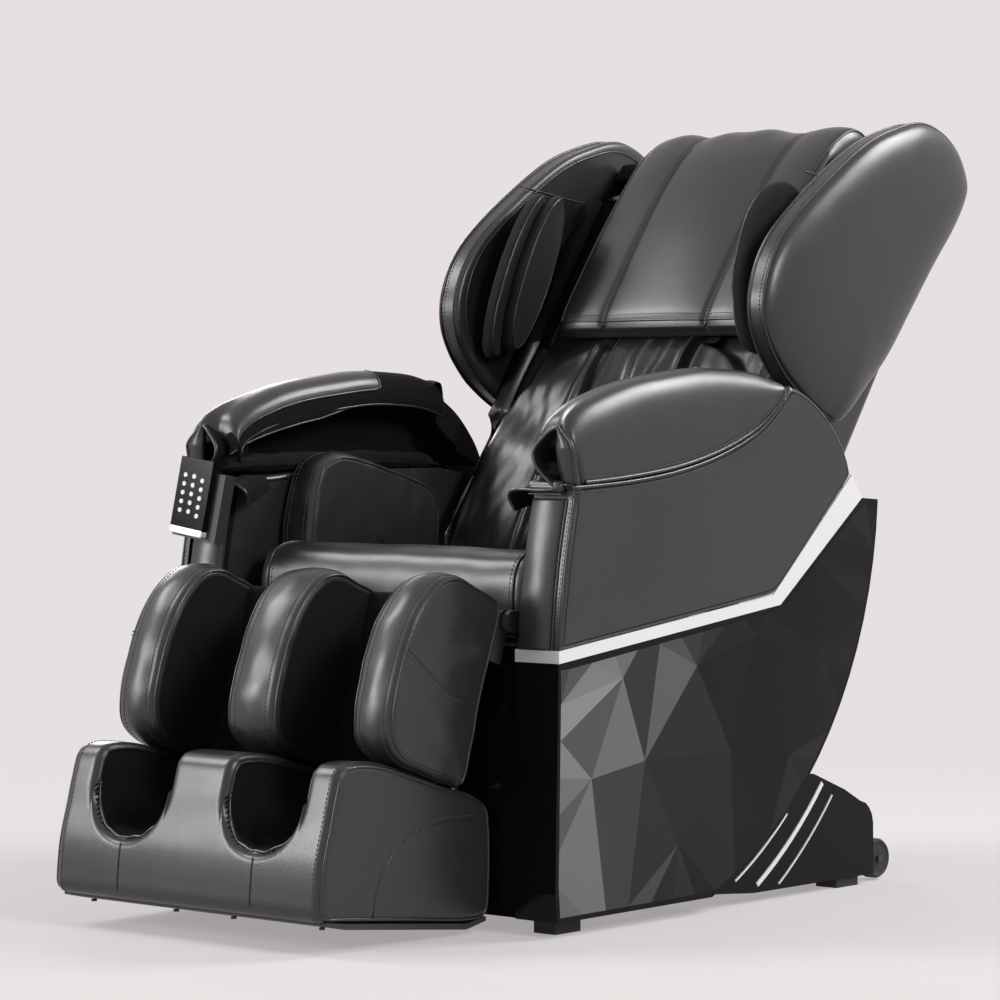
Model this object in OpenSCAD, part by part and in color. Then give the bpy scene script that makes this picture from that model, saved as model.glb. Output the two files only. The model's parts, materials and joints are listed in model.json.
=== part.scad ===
// Massage chair with padded arms, a reclining back that holds a roller
// carriage, and a lifting leg rest with a sprung foot box.
// The chair faces -Y, +Z is up and the origin is on the floor, mid-way
// between toe and head.

/* [Overall] */
// Width across the two arms
chair_w = 740; // [720:1:780]
// Width of one arm unit
arm_w = 80; // [74:1:86]
// Gap left around a soft part that moves past its neighbour
soft_gap = 2; // [1:0.5:4]
// Radial play of a pin or shaft in its bore
run_fit = 0.1; // [0.05:0.01:0.2]

/* [Base frame] */
// Side of the square base tubes
tube = 30; // [26:1:34]
// Wall of the square tubes
tube_wall = 2.5; // [2:0.5:4]
// Front end of the base tubes, ahead of the origin
base_front = 320; // [300:1:330]
// Rear end of the base tubes, behind the origin
base_rear = 417; // [400:1:425]
// Height of the rubber feet
foot_h = 24; // [18:1:30]
// Height of the seat rails above the floor
rail_z = 355; // [345:1:362]
// Radius of the transport wheels
wheel_r = 30; // [26:1:31]
// Width of a transport wheel's tread
wheel_w = 22; // [16:1:26]
// Radius of the wheel axles
axle_r = 5; // [4:0.5:6]

/* [Side panels and trims] */
// Wall of the moulded covers
skin = 4; // [3:0.5:5]
// Radius of the big rear curve of the side panel
panel_r = 631; // [625:1:640]
// Clearance under the side panel
panel_low = 21; // [18:1:30]
// Height of the trim strip at the front
trim_z = 371; // [366:1:376]
// Width of the trim strip at the front
trim_w = 17; // [12:1:20]
// How far the trim strip stands out
trim_out = 3; // [1:0.5:4]

/* [Arms] */
// Front face of the arm at its foot, ahead of the origin
arm_front = 345; // [340:1:350]
// Floor of the forearm channel
channel_z = 622; // [610:1:628]
// Thickness of the arm covers
arm_skin = 16; // [12:1:18]
// Thickness of the padded hood
hood_t = 20; // [16:1:22]
// How far the inner lip of the hood hangs down
hood_lip = 44; // [40:1:50]

/* [Seat] */
// Gap between the seat cushion and each arm
seat_side = 28; // [25:1:40]
// Front edge of the seat cushion, ahead of the origin
seat_front = 286; // [276:1:290]
// Height of the cushion at its front crown
seat_top = 516; // [505:1:525]
// Thickness of the seat board
board_t = 12; // [9:1:16]
// Thickness of the hip pads
hip_t = 62; // [50:1:68]

/* [Backrest] */
// Recline hinge behind the origin
hinge_y = 150; // [146:1:156]
// Recline hinge above the floor
hinge_z = 470; // [464:1:476]
// Angle of the back above the horizontal
back_angle = 55; // [54:0.5:56]
// Radius of the recline pins
hinge_r = 10; // [8:0.5:12]
// Distance from the hinge to the front of the back pad
pad_front = 55; // [52:1:58]
// Depth from the back pad's front to the rear shell
back_depth = 196; // [190:1:200]
// Gap between the rear shell and each arm
shell_side = 10; // [8:1:17]
// Inset of the back pad's side from the rear shell's side
pad_inset = 30; // [25:1:40]
// Length of the back from hinge to crown
back_len = 811; // [800:1:815]
// Thickness of the back pad
pad_t = 30; // [24:1:32]

/* [Head wings] */
// How far a wing stands out beyond the rear shell
wing_stand = 61; // [56:1:65]
// Thickness of one air pad
air_pad_t = 25; // [20:1:27]

/* [Massage mechanism] */
// Distance between the two guide rails
rail_gap = 170; // [160:1:180]
// Radius of the kneading rollers
roller_r = 20; // [16:1:21]
// Radius of the kneading shaft
knead_r = 8; // [6:0.5:9]

/* [Leg rest] */
// Leg hinge ahead of the origin
leg_y = 330; // [326:1:334]
// Leg hinge above the floor
leg_z = 425; // [421:1:429]
// Lean of the leg rest from upright
leg_lean = 18; // [17:0.5:19]
// Radius of the leg hinge pins
leg_pin_r = 8; // [7:0.5:9]
// Gap between the calf rest and each arm
calf_side = 28; // [25:1:32]
// Half width of the middle pad between the calves
mid_pad = 45; // [40:1:50]
// Width of an outer calf pad
side_pad = 70; // [60:1:75]
// Length of the calf rest along the leg
calf_len = 262; // [255:1:264]
// Depth of the calf rest, from its back to its crown
calf_depth = 160; // [150:1:164]
// Radius of the telescopic rods
rod_r = 9; // [7:0.5:10]

/* [Foot rest] */
// Inset of the foot box's side from the calf rest's side
foot_inset = 9; // [6:1:14]
// Width of one foot well
well_w = 146; // [135:1:150]
// Radius of the foot rollers
sole_roller_r = 22; // [18:1:24]

/* [Handset] */
// Width of the handset
hand_w = 66; // [62:1:72]
// Height of the handset
hand_h = 112; // [106:1:118]
// Thickness of the handset
hand_t = 20; // [17:1:22]
// Radius of a key
key_r = 3.4; // [2.5:0.1:3.9]
// How far a key travels
key_travel = 1.2; // [0.8:0.1:1.5]
// Distance between keys down a column
key_pitch = 13; // [11:0.5:14]

/* [Hidden] */
$fn = 48;
eps = 0.01;
leather = "#202024";
gloss = "#101014";

// ---- sizes that follow from the ones above ----
arm_out = chair_w / 2;
arm_in = arm_out - arm_w;
seat_w = 2 * (arm_in - seat_side);
shell_w = 2 * (arm_in - shell_side);
back_w = shell_w - 2 * pad_inset;
calf_w = 2 * (arm_in - calf_side);
foot_w = calf_w - 2 * foot_inset;
tube_x = arm_out - 50;
panel_low_angle = -69;
panel_toe = [-6.87, 22.91];
panel_c = panel_toe - panel_r * [cos(panel_low_angle), sin(panel_low_angle)];
trim_knee = [150, trim_z + 60];
trim_end = [352, trim_z + 211];
trim_knee_w = 22;
trim_end_w = 43;
cushion_low = rail_z + tube + board_t;
shell_v = back_depth - pad_front;
rail_x = rail_gap / 2;
wing_out = shell_w / 2 + wing_stand;
wing_in = shell_w / 2 + 0.3;
wing_rim = wing_out - 26;
lever_t = 8;
lever_edge = 6;
act_r = 18;
act_rod_r = 9;
act_pin_r = 6;
slot_play = 3.5;
seat_gap = 0.3;
groove_w = 9;
groove_draw = 0.02;
foot_size = [38, 54];
front_foot_y = 28 - base_front;
rear_foot_y = base_rear - 57;
back_act_pivot = [-225, 235];
back_act_pin = [hinge_y + 60, hinge_z - 110];
leg_act_pivot = [20, 200];
leg_act_pin = [-leg_y + 30, leg_z - 90];
back_act_x = 60;
leg_act_x = -60;

// ---- helpers ----
function arc(c, r, a0, a1, n) =
    [for (i = [0:n]) [c.x + r * cos(a0 + (a1 - a0) * i / n), c.y + r * sin(a0 + (a1 - a0) * i / n)]];
function mean(p) = [for (k = [0:1]) let (v = [for (q = p) q[k]]) v * [for (q = p) 1 / len(p)]];
function unit(v) = v / norm(v);

// Side outline in (y, z) given thickness from x0 to x1
module across(x0, x1) {
    translate([x0, 0, 0]) rotate([90, 0, 90]) linear_extrude(x1 - x0) children();
}

// Both hands of a part that is drawn for the +X side
module both() {
    children();
    mirror([1, 0, 0]) children();
}

// Closed tube of rings: every ring is a list of points, counter-clockwise seen from the last ring.
// Each end is closed by a strip between the first half of its ring and the second.
module lofted(rings) {
    n = len(rings[0]);
    m = len(rings);
    last = (m - 1) * n;
    sides = [for (j = [0:m - 2]) for (i = [0:n - 1]) let (k = (i + 1) % n)
        each [[j * n + i, (j + 1) * n + i, (j + 1) * n + k], [j * n + i, (j + 1) * n + k, j * n + k]]];
    strip = concat(
        [for (a = [0:floor(n / 2) - 1]) let (b = n - 1 - a) if (b > a + 1) [a, a + 1, b]],
        [for (a = [0:floor(n / 2) - 1]) let (b = n - 1 - a) if (b > a + 2) [a + 1, b - 1, b]]);
    high = [for (f = strip) [last + f[2], last + f[1], last + f[0]]];
    polyhedron([for (r = rings) each r], concat(strip, sides, high), convexity = 6);
}

// Outline in (y, z) swept across x, drawn in towards its middle at both ends
// and by a little at each sewn groove; the first points, as many as held, lie on
// what carries the cushion and stay where they are
module cushioned(outline, x0, x1, edge, draw, steps = 3, grooves = [], held = 2) {
    c = mean(outline);
    rise = [for (i = [0:steps]) i / steps];
    low = [for (t = rise) [x0 + edge * (1 - cos(90 * t)), 1 - draw * (1 - sin(90 * t))]];
    sewn = [for (g = grooves) each [[g - groove_w, 1], [g, 1 - groove_draw], [g + groove_w, 1]]];
    high = [for (i = [steps:-1:0]) [x1 - edge * (1 - cos(90 * rise[i])), 1 - draw * (1 - sin(90 * rise[i]))]];
    lofted([for (s = concat(low, sewn, high))
        [for (i = [0:len(outline) - 1]) let (p = outline[i] - c, k = i < held ? 1 : s[1])
            [s[0], c.x + p.x * k, c.y + p.y * k]]]);
}

// Square tube along x, y or z, open at both ends
module square_tube(size) {
    hollow = [for (s = size) s == max(size) ? s + 2 : s - 2 * tube_wall];
    difference() {
        cube(size, center = true);
        cube(hollow, center = true);
    }
}

// Frame of the reclining back: y runs rearward, z up along the back
module in_back() {
    translate([0, hinge_y, hinge_z]) rotate([back_angle - 90, 0, 0]) children();
}

// Frame of the leg rest: y runs rearward, z up along the leg
module in_leg() {
    translate([0, -leg_y, leg_z]) rotate([-leg_lean, 0, 0]) children();
}

// Places a part drawn along +X so that it runs from a to b in the (y, z) plane at x
module between(x, a, b) {
    translate([x, a.x, a.y]) rotate([atan2(b.y - a.y, b.x - a.x), 0, 0]) rotate([0, 0, 90]) children();
}

module pin(x0, x1, y, z, r) {
    translate([x0, y, z]) rotate([0, 90, 0]) cylinder(h = x1 - x0, r = r);
}

// ---- base ----
lower_z = foot_h + tube / 2;
loop_tube = 20;
loop_z = channel_z - 16 - loop_tube - seat_gap;
panel_in = arm_out - trim_out - skin;
wheel_y = base_rear + wheel_r + 6;
wheel_z = wheel_r + 3;
post_front = -base_front + 40;
rail_mid = rail_z + tube / 2;
bracket_in = shell_w / 2 - 10;
bracket_t = 8;

module side_frame() {
    rail_front = -base_front + 25;
    rail_rear = hinge_y + 25;
    translate([tube_x, (base_rear - base_front) / 2, lower_z])
        square_tube([tube, base_rear + base_front, tube]);
    translate([tube_x, (rail_front + rail_rear) / 2, rail_mid])
        square_tube([tube, rail_rear - rail_front, tube]);
    for (y = [post_front, hinge_y])
        translate([tube_x, y, (foot_h + tube + rail_z) / 2])
            square_tube([tube, tube, rail_z - foot_h - tube]);
    // arm loop that carries the covers
    for (y = [-200, 60])
        translate([tube_x, y, (rail_z + tube + loop_z) / 2])
            square_tube([loop_tube, loop_tube, loop_z - rail_z - tube]);
    translate([tube_x, -70, loop_z + loop_tube / 2]) square_tube([loop_tube, 290, loop_tube]);
    // brackets behind the side panel
    for (p = [[post_front, 150], [post_front, 300], [hinge_y, 180], [hinge_y, 300]])
        translate([tube_x + tube / 2, p.x - 10, p.y]) cube([panel_in - tube_x - tube / 2 - 0.3, 20, 16]);
    // recline bracket with its pin
    translate([bracket_in, hinge_y - 22, rail_z]) cube([bracket_t, 44, hinge_z - rail_z]);
    pin(bracket_in, bracket_in + bracket_t, hinge_y, hinge_z, 22);
    pin(frame_x - 3.5, bracket_in + eps, hinge_y, hinge_z, hinge_r);
    translate([bracket_in, hinge_y - 15, rail_z]) cube([tube_x - bracket_in - tube / 2 + 1, 30, tube]);
    // leg hinge bracket with its pin
    translate([calf_w / 2 + 4, -leg_y, leg_z - 14]) cube([8, leg_y + post_front + 30, 28]);
    pin(calf_w / 2 + 4, calf_w / 2 + 12, -leg_y, leg_z, 14);
    pin(calf_w / 2 - 9.5, calf_w / 2 + 4 + eps, -leg_y, leg_z, leg_pin_r);
    translate([calf_w / 2 + 4, post_front - 15, rail_z]) cube([8, 30, leg_z - rail_z]);
    translate([calf_w / 2 + 4, post_front - 15, rail_z])
        cube([tube_x - tube / 2 - calf_w / 2 - 3, 30, tube]);
    // wheel stub axle
    pin(tube_x - tube / 2 - 5, tube_x + wheel_w / 2 + 3, wheel_y, wheel_z, axle_r);
    translate([tube_x - tube / 2 - 5, base_rear - 20, foot_h]) cube([5, wheel_y - base_rear + 32, tube]);
}

module cross_tube(y, z) {
    translate([0, y, z]) square_tube([2 * tube_x - tube + 2, tube, tube]);
}

module pivot_fork(x, p) {
    for (s = [-1, 1])
        translate([x + s * (act_r + 4) - 2, 0, 0]) children();
    pin(x - act_r - 8, x + act_r + 8, p.x, p.y, act_pin_r);
}

module base_frame() color("dimgray") {
    both() side_frame();
    cross_tube(post_front + 30, rail_mid);
    cross_tube(-40, rail_mid);
    cross_tube(back_act_pivot.x - 20, 190);
    cross_tube(base_rear - 40, lower_z);
    cross_tube(leg_act_pivot.x, lower_z);
    both() {
        translate([tube_x - tube / 2 - 4, back_act_pivot.x - 35, foot_h + tube])
            cube([8, tube, 151 - foot_h]);
    }
    pivot_fork(back_act_x, back_act_pivot)
        translate([0, back_act_pivot.x - 8, 190]) cube([4, 16, back_act_pivot.y - 190 + 8]);
    pivot_fork(leg_act_x, leg_act_pivot)
        translate([0, leg_act_pivot.x - 8, lower_z]) cube([4, 16, leg_act_pivot.y - lower_z + 8]);
}

module seat_board() color("burlywood")
    translate([-seat_w / 2 + 10, -seat_front + 16, rail_z + tube])
        cube([seat_w - 20, seat_front + 30, board_t]);

module floor_feet() color("black") both() {
    for (y = [front_foot_y, rear_foot_y])
        translate([tube_x, y, 0]) linear_extrude(foot_h) square(foot_size, center = true);
}

// Room inside a cover for the base tube, its cross tube, the rear post and the feet
module frame_passage(gap = seat_gap) {
    w = tube + 2 * gap;
    translate([tube_x - w / 2, -base_front - gap, foot_h - gap])
        cube([w, base_rear + base_front + 2 * gap, w]);
    translate([tube_x - w / 2, hinge_y - w / 2, foot_h]) cube([w, w, tube + 100]);
    translate([tube_x - 60, leg_act_pivot.x - w / 2, foot_h - gap]) cube([60, w, w]);
    for (y = [front_foot_y, rear_foot_y])
        translate([tube_x - foot_size.x / 2 - gap, y - foot_size.y / 2 - gap, -gap])
            cube([foot_size.x + 2 * gap, foot_size.y + 2 * gap, foot_h + 2 * gap]);
}

// Outline of the cover over the rear end of the base
cover_rear = base_rear + 4;
function rear_cover_outline(inset) = concat(
    arc(panel_c, panel_r + 4 + inset, inset / 2 - 68, -43 - inset / 2, 6),
    [[cover_rear - 153, 176 - inset], [cover_rear - 75 - inset, 147 - inset], [cover_rear - 35 - inset, 127 - inset]],
    arc([cover_rear - 41, 88], 40 - inset, 60, 5, 3),
    [[cover_rear - inset, 14 + inset], [120, 14 + inset]]);

module rear_cover() color(gloss) difference() {
    across(tube_x - 32, tube_x + 24) polygon(rear_cover_outline(0));
    across(tube_x - 33, tube_x + 24 - skin) polygon(rear_cover_outline(skin));
    frame_passage();
    // slot for the wheel and its plate
    translate([tube_x - tube / 2 - 6, base_rear - 3, 0])
        cube([tube + 6 + seat_gap, 60, wheel_z + wheel_r + 6]);
}

module rear_cover_left() rear_cover();
module rear_cover_right() mirror([1, 0, 0]) rear_cover();

// Three bright strips that follow the big curve
module rear_cover_trims() color("silver") both()
    for (s = [[21, -61.8, -48.5, 3], [54, -58.4, -40.9, 7], [88, -55, -40.8, 2.5]])
        across(tube_x + 24, tube_x + 26) polygon(concat(
            arc(panel_c, panel_r + s[0], s[1], s[2], 8), arc(panel_c, panel_r + s[0] + s[3], s[2], s[1], 8)));

// Cover across the front of the base, with a slot for the lever of the leg rest
cover_top = trim_z + 14;
function front_cover_line(d) = [
    [-arm_front + d, panel_low + 1], [-arm_front + d, 285], [-leg_y + 6 + d, 335], [-leg_y + 6 + d, cover_top]];
module front_cover() color(gloss) difference() {
    across(seat_gap - arm_in - 2, arm_in + 2 - seat_gap)
        polygon(concat(front_cover_line(0), [for (i = [3:-1:0]) front_cover_line(skin)[i]]));
    translate([leg_act_x - act_r - 4, -400, 290]) cube([2 * act_r + 8, 200, 200]);
}

// Supply box on the rear cross tube, open towards the front
box_size = [300, 60, 96];
box_wall = 3;
box_at = [-box_size.x / 2, base_rear + 17 - box_size.y, foot_h + tube + seat_gap];
box_back = box_at.y + box_size.y;
switch_at = [-52.5, box_back - 7, 100];
switch_w = 14;
switch_r = 11;
module power_box() color("#18181a") difference() {
    translate(box_at) cube(box_size);
    translate(box_at + [box_wall, -1, box_wall])
        cube(box_size - [2 * box_wall, box_wall - 1, 2 * box_wall]);
    // openings for the mains inlet and the switch
    translate([-110, box_back - 14, 90]) cube([28, 20, 20]);
    translate([switch_at.x - switch_w / 2 - 0.5, box_back - 14, switch_at.z - switch_r - 1])
        cube([switch_w + 1, 20, 2 * switch_r + 2]);
}

module power_switch() color("#a01818") translate(switch_at) rotate([0, 90, 0]) intersection() {
    cylinder(h = switch_w, r = switch_r, center = true);
    translate([0, 4, 0]) cube([2 * switch_r, 16, switch_w], center = true);
}

module wheel() color("black") translate([tube_x, wheel_y, wheel_z]) rotate([0, 90, 0])
    rotate_extrude() polygon([
        [axle_r + run_fit, -wheel_w / 2 + 2], [wheel_r - 8, -wheel_w / 2 + 2], [wheel_r - 3, -wheel_w / 2],
        [wheel_r, -wheel_w / 2 + 4], [wheel_r, wheel_w / 2 - 4], [wheel_r - 3, wheel_w / 2],
        [wheel_r - 8, wheel_w / 2 - 2], [axle_r + run_fit, wheel_w / 2 - 2]]);
module wheel_left() wheel();
module wheel_right() mirror([1, 0, 0]) wheel();

// ---- side panels and trims ----
trim_dir = unit(trim_end - trim_knee);
trim_norm = [-trim_dir.y, trim_dir.x];
trim_high = [[-arm_front, trim_z + trim_w], trim_knee + [-17, 15] * trim_knee_w / 22, trim_end + trim_norm * trim_end_w];

// Outline of the panel, drawn in by d at the front, foot and rear; the top stays open
function panel_outline(d) = concat(
    [[-arm_front + d, trim_z + d / 4], [-arm_front - 7 + d, 60], [-arm_front - 2 + d, panel_low + d]],
    arc(panel_c, panel_r - d, panel_low_angle + d / 20, -3 - d / 11, 16),
    [trim_end + [-d, d / 4], trim_knee + [0, d / 4]]);

module side_panel() color(gloss) difference() {
    across(arm_in + 2, arm_out - trim_out) polygon(panel_outline(0));
    across(arm_in + 1, arm_out - trim_out - skin) polygon(panel_outline(skin));
    frame_passage();
}
module side_panel_left() side_panel();
module side_panel_right() mirror([1, 0, 0]) side_panel();

module side_trims() color("silver") both() difference() {
    across(arm_in + 2, arm_out) polygon(concat(
        [[-arm_front - trim_out, trim_z], trim_knee, trim_end],
        [trim_high[2], trim_high[1], [-arm_front - trim_out, trim_z + trim_w]]));
    across(arm_in + 1, arm_out - trim_out) polygon(concat(
        [[-arm_front, trim_z - 1], [200, trim_z - 1], [400, trim_end.y - 10]],
        [[400, 700], [-arm_front, 700]]));
}

// ---- arms ----
arm_crest = [[-322, 672], [-312, 697], [-292, 712], [-252, 727], [-169, 748], [-84, 761], [4, 769],
    [93, 765], [140, 757], [170, 748]];
arm_seam = [[-322, 612], [-193, 618], [-91, 630], [5, 651], [86, 680], [132, 708], [170, 740]];
hood_rear = 150;
// Stations along the hood, and the height at which it stands on the arm cover
hood_ys = concat([for (p = arm_crest) if (p.x < hood_rear) p.x], [hood_rear]);
function hood_foot(y) = min(lookup(y, arm_seam), lookup(y, arm_crest) - hood_lip - 6);
arm_nose = [[-arm_front, trim_z + trim_w + 0.6], [-arm_front + 15, 504], [-arm_front + 31, 590], [-322, 612]];
arm_tail = [[326, 617], [299, 668], [262, 706], [212, 736], [170, 748]];

module arm_side_outline() polygon(concat(
    [arm_nose[0], trim_high[1] + [0, 0.6], trim_high[2] + [0, 0.6]], arm_tail,
    [for (z = [lookup(hood_rear, arm_crest), hood_foot(hood_rear)]) [hood_rear + seat_gap, z]],
    [for (i = [len(hood_ys) - 2:-1:0]) [hood_ys[i], hood_foot(hood_ys[i])]],
    [arm_nose[2], arm_nose[1]]));

front_t = arm_skin + 2;
module arm_cover() color(leather) difference() {
    across(arm_in, arm_out) arm_side_outline();
    // hollow for the frame loop
    across(arm_in + 8, arm_out - 8) offset(-10) intersection() {
        arm_side_outline();
        polygon([[-arm_front, 300], [400, 300], [400, 560], [170, channel_z], [-arm_front, channel_z]]);
    }
    across(arm_in + 8, arm_out - 8) polygon([
        [-arm_front + 30, trim_z], trim_high[1] + [-40, -30], trim_high[1] + [-40, 40], [-arm_front + 30, trim_z + 50]]);
    // forearm channel, which leaves only the outer wall behind the hood
    across(arm_in - 1, arm_out - arm_skin) polygon([
        [-arm_front - 9, channel_z], [hood_rear, channel_z], [400, channel_z - 40], [400, 800],
        [-arm_front - 9, 800]]);
    // seat for the front roll
    across(arm_in - 1, arm_out - arm_skin) polygon(concat(
        [[-arm_front - 20, 300], [-arm_front + front_t, 300]],
        [for (i = [0:2]) arm_nose[i] + [front_t, 0]],
        [[-arm_front + 31 + front_t, channel_z + 1], [-arm_front - 20, channel_z + 1]]));
}
module arm_cover_left() arm_cover();
module arm_cover_right() mirror([1, 0, 0]) arm_cover();

// Padded hood over the forearm channel: a hooked section carried along the arm
function hood_ring(y) =
    let (t = lookup(y, arm_crest), s = hood_foot(y) + seat_gap, o = arm_out, i = arm_in, k = hood_t)
    [[o, y, s], [o, y, t - 34], [o - 5, y, t - 14], [o - 18, y, t - 3], [(o + i) / 2, y, t],
     [i + 16, y, t - 4], [i + 3, y, t - 16], [i, y, t - 32], [i + 4, y, t - hood_lip],
     [i + 14, y, t - hood_lip], [i + k - 2, y, t - 30], [i + k + 4, y, t - k - 2], [(o + i) / 2, y, t - k],
     [o - k - 6, y, t - k - 4], [o - arm_skin, y, t - k - 16], [o - arm_skin, y, s]];

module arm_hood() color(leather)
    lofted([for (i = [len(hood_ys) - 1:-1:0]) hood_ring(hood_ys[i])]);
module arm_hood_left() arm_hood();
module arm_hood_right() mirror([1, 0, 0]) arm_hood();

module arm_front() color(leather) {
    inner = [for (i = [0:2]) arm_nose[i] + [front_t - 0.5, 0]];
    outer = [for (i = [2:-1:0]) arm_nose[i]];
    tip = arm_nose[3].x;
    cushioned(concat([inner[0], inner[1], inner[2], [tip + front_t, channel_z - 6], [tip, channel_z - 1]],
        [[tip - 4, channel_z - 16]], outer), arm_in + 0.5, arm_out - arm_skin - 0.5, 8, 0.06, held = 3);
}
module arm_fronts() both() arm_front();

// Section of the air cell under the hood, with a band that hangs inside the hood's lip
function cell_ring(y) =
    let (t = lookup(y, arm_crest), o = arm_out, i = arm_in, k = hood_t)
    [[i + 19, y, t - hood_lip - 18], [i + 20, y, t - k - 13], [i + 26, y, t - k - 5],
     [(o + i) / 2, y, t - k - 1], [o - k - 7, y, t - k - 6], [o - k - 8, y, t - k - 17],
     [i + 29, y, t - k - 16], [i + 27, y, t - hood_lip - 18]];

// Air cells of the forearm channel, on its floor and under the hood
module arm_linings() color("#141416") both() {
    c = channel_z + seat_gap;
    cushioned([[-305, c], [140, c], [148, c + 8], [130, c + 18], [-100, c + 22], [-290, c + 16], [-308, c + 8]],
        arm_in + 4, arm_out - arm_skin - 4, 12, 0.2);
    lofted([for (y = [-296, -252, -169, -84, 4, 93, hood_rear - 4]) cell_ring(y)]);
}

// ---- seat ----
module hip_pad() color(leather) {
    low = cushion_low + 30;
    cushioned([[-206, low], [70, low], [72, 500], [78, 580], [30, 608], [-60, 634], [-130, 646], [-178, 632],
        [-200, 590], [-208, 520]], arm_in - 5 - hip_t, arm_in - 5, 16, 0.1);
}
module hip_pad_left() hip_pad();
module hip_pad_right() mirror([1, 0, 0]) hip_pad();

module seat_cushion() color(leather) difference() {
    cushioned(concat(
        [[-seat_front + 20, cushion_low + 0.3], [80, cushion_low + 0.3],
         [92, cushion_low + 33], [84, seat_top - 34], [0, seat_top - 24],
         [-120, seat_top - 8], [-200, seat_top]],
        arc([-seat_front + 34, seat_top - 34], 34, 100, 190, 5),
        [[-seat_front, 440], [-seat_front + 6, 410]]),
        -seat_w / 2, seat_w / 2, 26, 0.08, 4);
    // room for the hip pads
    both() translate([arm_in - 5 - hip_t - soft_gap, -211, cushion_low + 29.7]) cube([80, 320, 200]);
}

// ---- handset and its holder on the right arm ----
function arm_face(z) = lookup(z, [for (p = arm_nose) [p.y, p.x]]);
hand_x = -arm_out + 14 + hand_w / 2;
hand_y = -arm_front - 2;
hand_z = 532;
module on_holder() {
    translate([hand_x, hand_y, hand_z]) rotate([-6, 8, 0]) children();
}

module handset_holder() color("#161618") {
    on_holder() difference() {
        translate([-hand_w / 2 - 3, -hand_t / 2 - 4, -8]) cube([hand_w + 22, hand_t / 2 + 11, 100]);
        translate([-hand_w / 2 - 0.5, -hand_t - 4.5, -4]) cube([hand_w + 1, hand_t + 1, 110]);
    }
    // bracket to the front of the arm
    across(hand_x - 14, hand_x + 14) polygon([
        for (z = [537, 572]) [arm_face(z) - seat_gap, z], [hand_y + 10, 572], [hand_y + 6, 537]]);
}

key_face = -hand_t - 4;
module handset() color("#141417") on_holder() difference() {
    translate([-hand_w / 2, -hand_t - 4, -3.7]) cube([hand_w, hand_t, hand_h]);
    for (c = [1:3]) for (r = [1:5]) key_place(c, r) cylinder(h = 8, r = key_r + 0.3, center = true);
}

// Keys stand in three columns; the middle column sits a little higher
module key_place(c, r) {
    translate([(c - 2) * hand_w * 0.27, key_face, hand_h - 30 - (r - 1) * key_pitch - (c == 3 ? 4 : 0)])
        rotate([90, 0, 0]) children();
}

module key(c, r) color("gainsboro") on_holder() key_place(c, r) {
    translate([0, 0, -3.6 + key_travel]) cylinder(h = 5.2 - key_travel, r = key_r);
}

module key_11() key(1, 1);
module key_12() key(1, 2);
module key_13() key(1, 3);
module key_14() key(1, 4);
module key_15() key(1, 5);
module key_21() key(2, 1);
module key_22() key(2, 2);
module key_23() key(2, 3);
module key_24() key(2, 4);
module key_25() key(2, 5);
module key_31() key(3, 1);
module key_32() key(3, 2);
module key_33() key(3, 3);
module key_34() key(3, 4);
module key_35() key(3, 5);

// ---- backrest ----
frame_x = back_w / 2 + 4;
pad_rear = pad_t - pad_front;
guide_w = 24;
module back_frame() color("dimgray") {
    in_back() {
        // side members with their hinge eyes
        both() difference() {
            union() {
                translate([frame_x - 4, pad_rear + seat_gap, 28]) cube([6, 28 - pad_rear, 612]);
                translate([frame_x - 4, -16, 0]) cube([6, 44, 40]);
                pin(frame_x - 4, frame_x + 2, 0, 0, 24);
            }
            pin(frame_x - 5, frame_x + 3, 0, 0, hinge_r + run_fit);
        }
        both() {
            // guide rail of the carriage: a channel open to the middle
            translate([rail_x, 24, 56]) difference() {
                cube([14, guide_w + 6, 568]);
                translate([-1, 3, -1]) cube([12, guide_w, 570]);
            }
            // brackets to the rear shell
            for (z = [150, 560])
                translate([frame_x, 4, z]) cube([shell_w / 2 - skin - frame_x - seat_gap, 16, 30]);
        }
        for (z = [52, 628])
            translate([0, 40, z]) square_tube([2 * frame_x - 4, 22, 16]);
        pin(4 - frame_x, frame_x - 4, 0, 0, 14);
    }
    drive_lever(back_act_x, [hinge_y, hinge_z], back_act_pin, 14);
}

// Lever plate from a hinge to an actuator pin, with a slot of the given length towards the hinge
module drive_lever(x, hinge, tip, slot) {
    r = norm(tip - hinge);
    hole = act_pin_r + slot_play;
    translate([x, hinge.x, hinge.y]) rotate([atan2(tip.y - hinge.y, tip.x - hinge.x), 0, 0]) difference() {
        translate([-lever_t / 2, 0, -hole - lever_edge]) cube([lever_t, r + hole + lever_edge, 2 * (hole + lever_edge)]);
        translate([-lever_t, r, 0]) rotate([0, 90, 0]) cylinder(h = 2 * lever_t, r = hole);
        translate([-lever_t, r - slot, 0]) rotate([0, 90, 0]) cylinder(h = 2 * lever_t, r = hole);
        translate([-lever_t, r - slot, -hole]) cube([2 * lever_t, slot, 2 * hole]);
    }
}

// Rear shell: a shallow tray, open to the front
shell_top = back_len - 35;
function shell_outline(d) = concat(
    [[-10 + d, 90 + d], [shell_v - 30 - d, 90 + d]],
    arc([shell_v - 30, 120], 30 - d, -90, 0, 4),
    [[shell_v - d, 640], [shell_v - 18 - d, 720], [shell_v - 40 - d, shell_top - 20 - d]],
    [[shell_v - 66, shell_top - d], [-20 + d, shell_top - d], [-20 + d, 640]]);
module back_shell() color(leather) in_back() difference() {
    across(-shell_w / 2, shell_w / 2) polygon(shell_outline(0));
    across(-shell_w / 2 + skin, shell_w / 2 - skin) polygon(shell_outline(skin));
    // open front, and room for the frame at the foot
    translate([-shell_w / 2 + skin, -60, 80]) cube([shell_w - 2 * skin, 74, 660]);
    translate([-shell_w / 2 + skin, -60, 80]) cube([shell_w - 2 * skin, 118, 16]);
}

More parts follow.
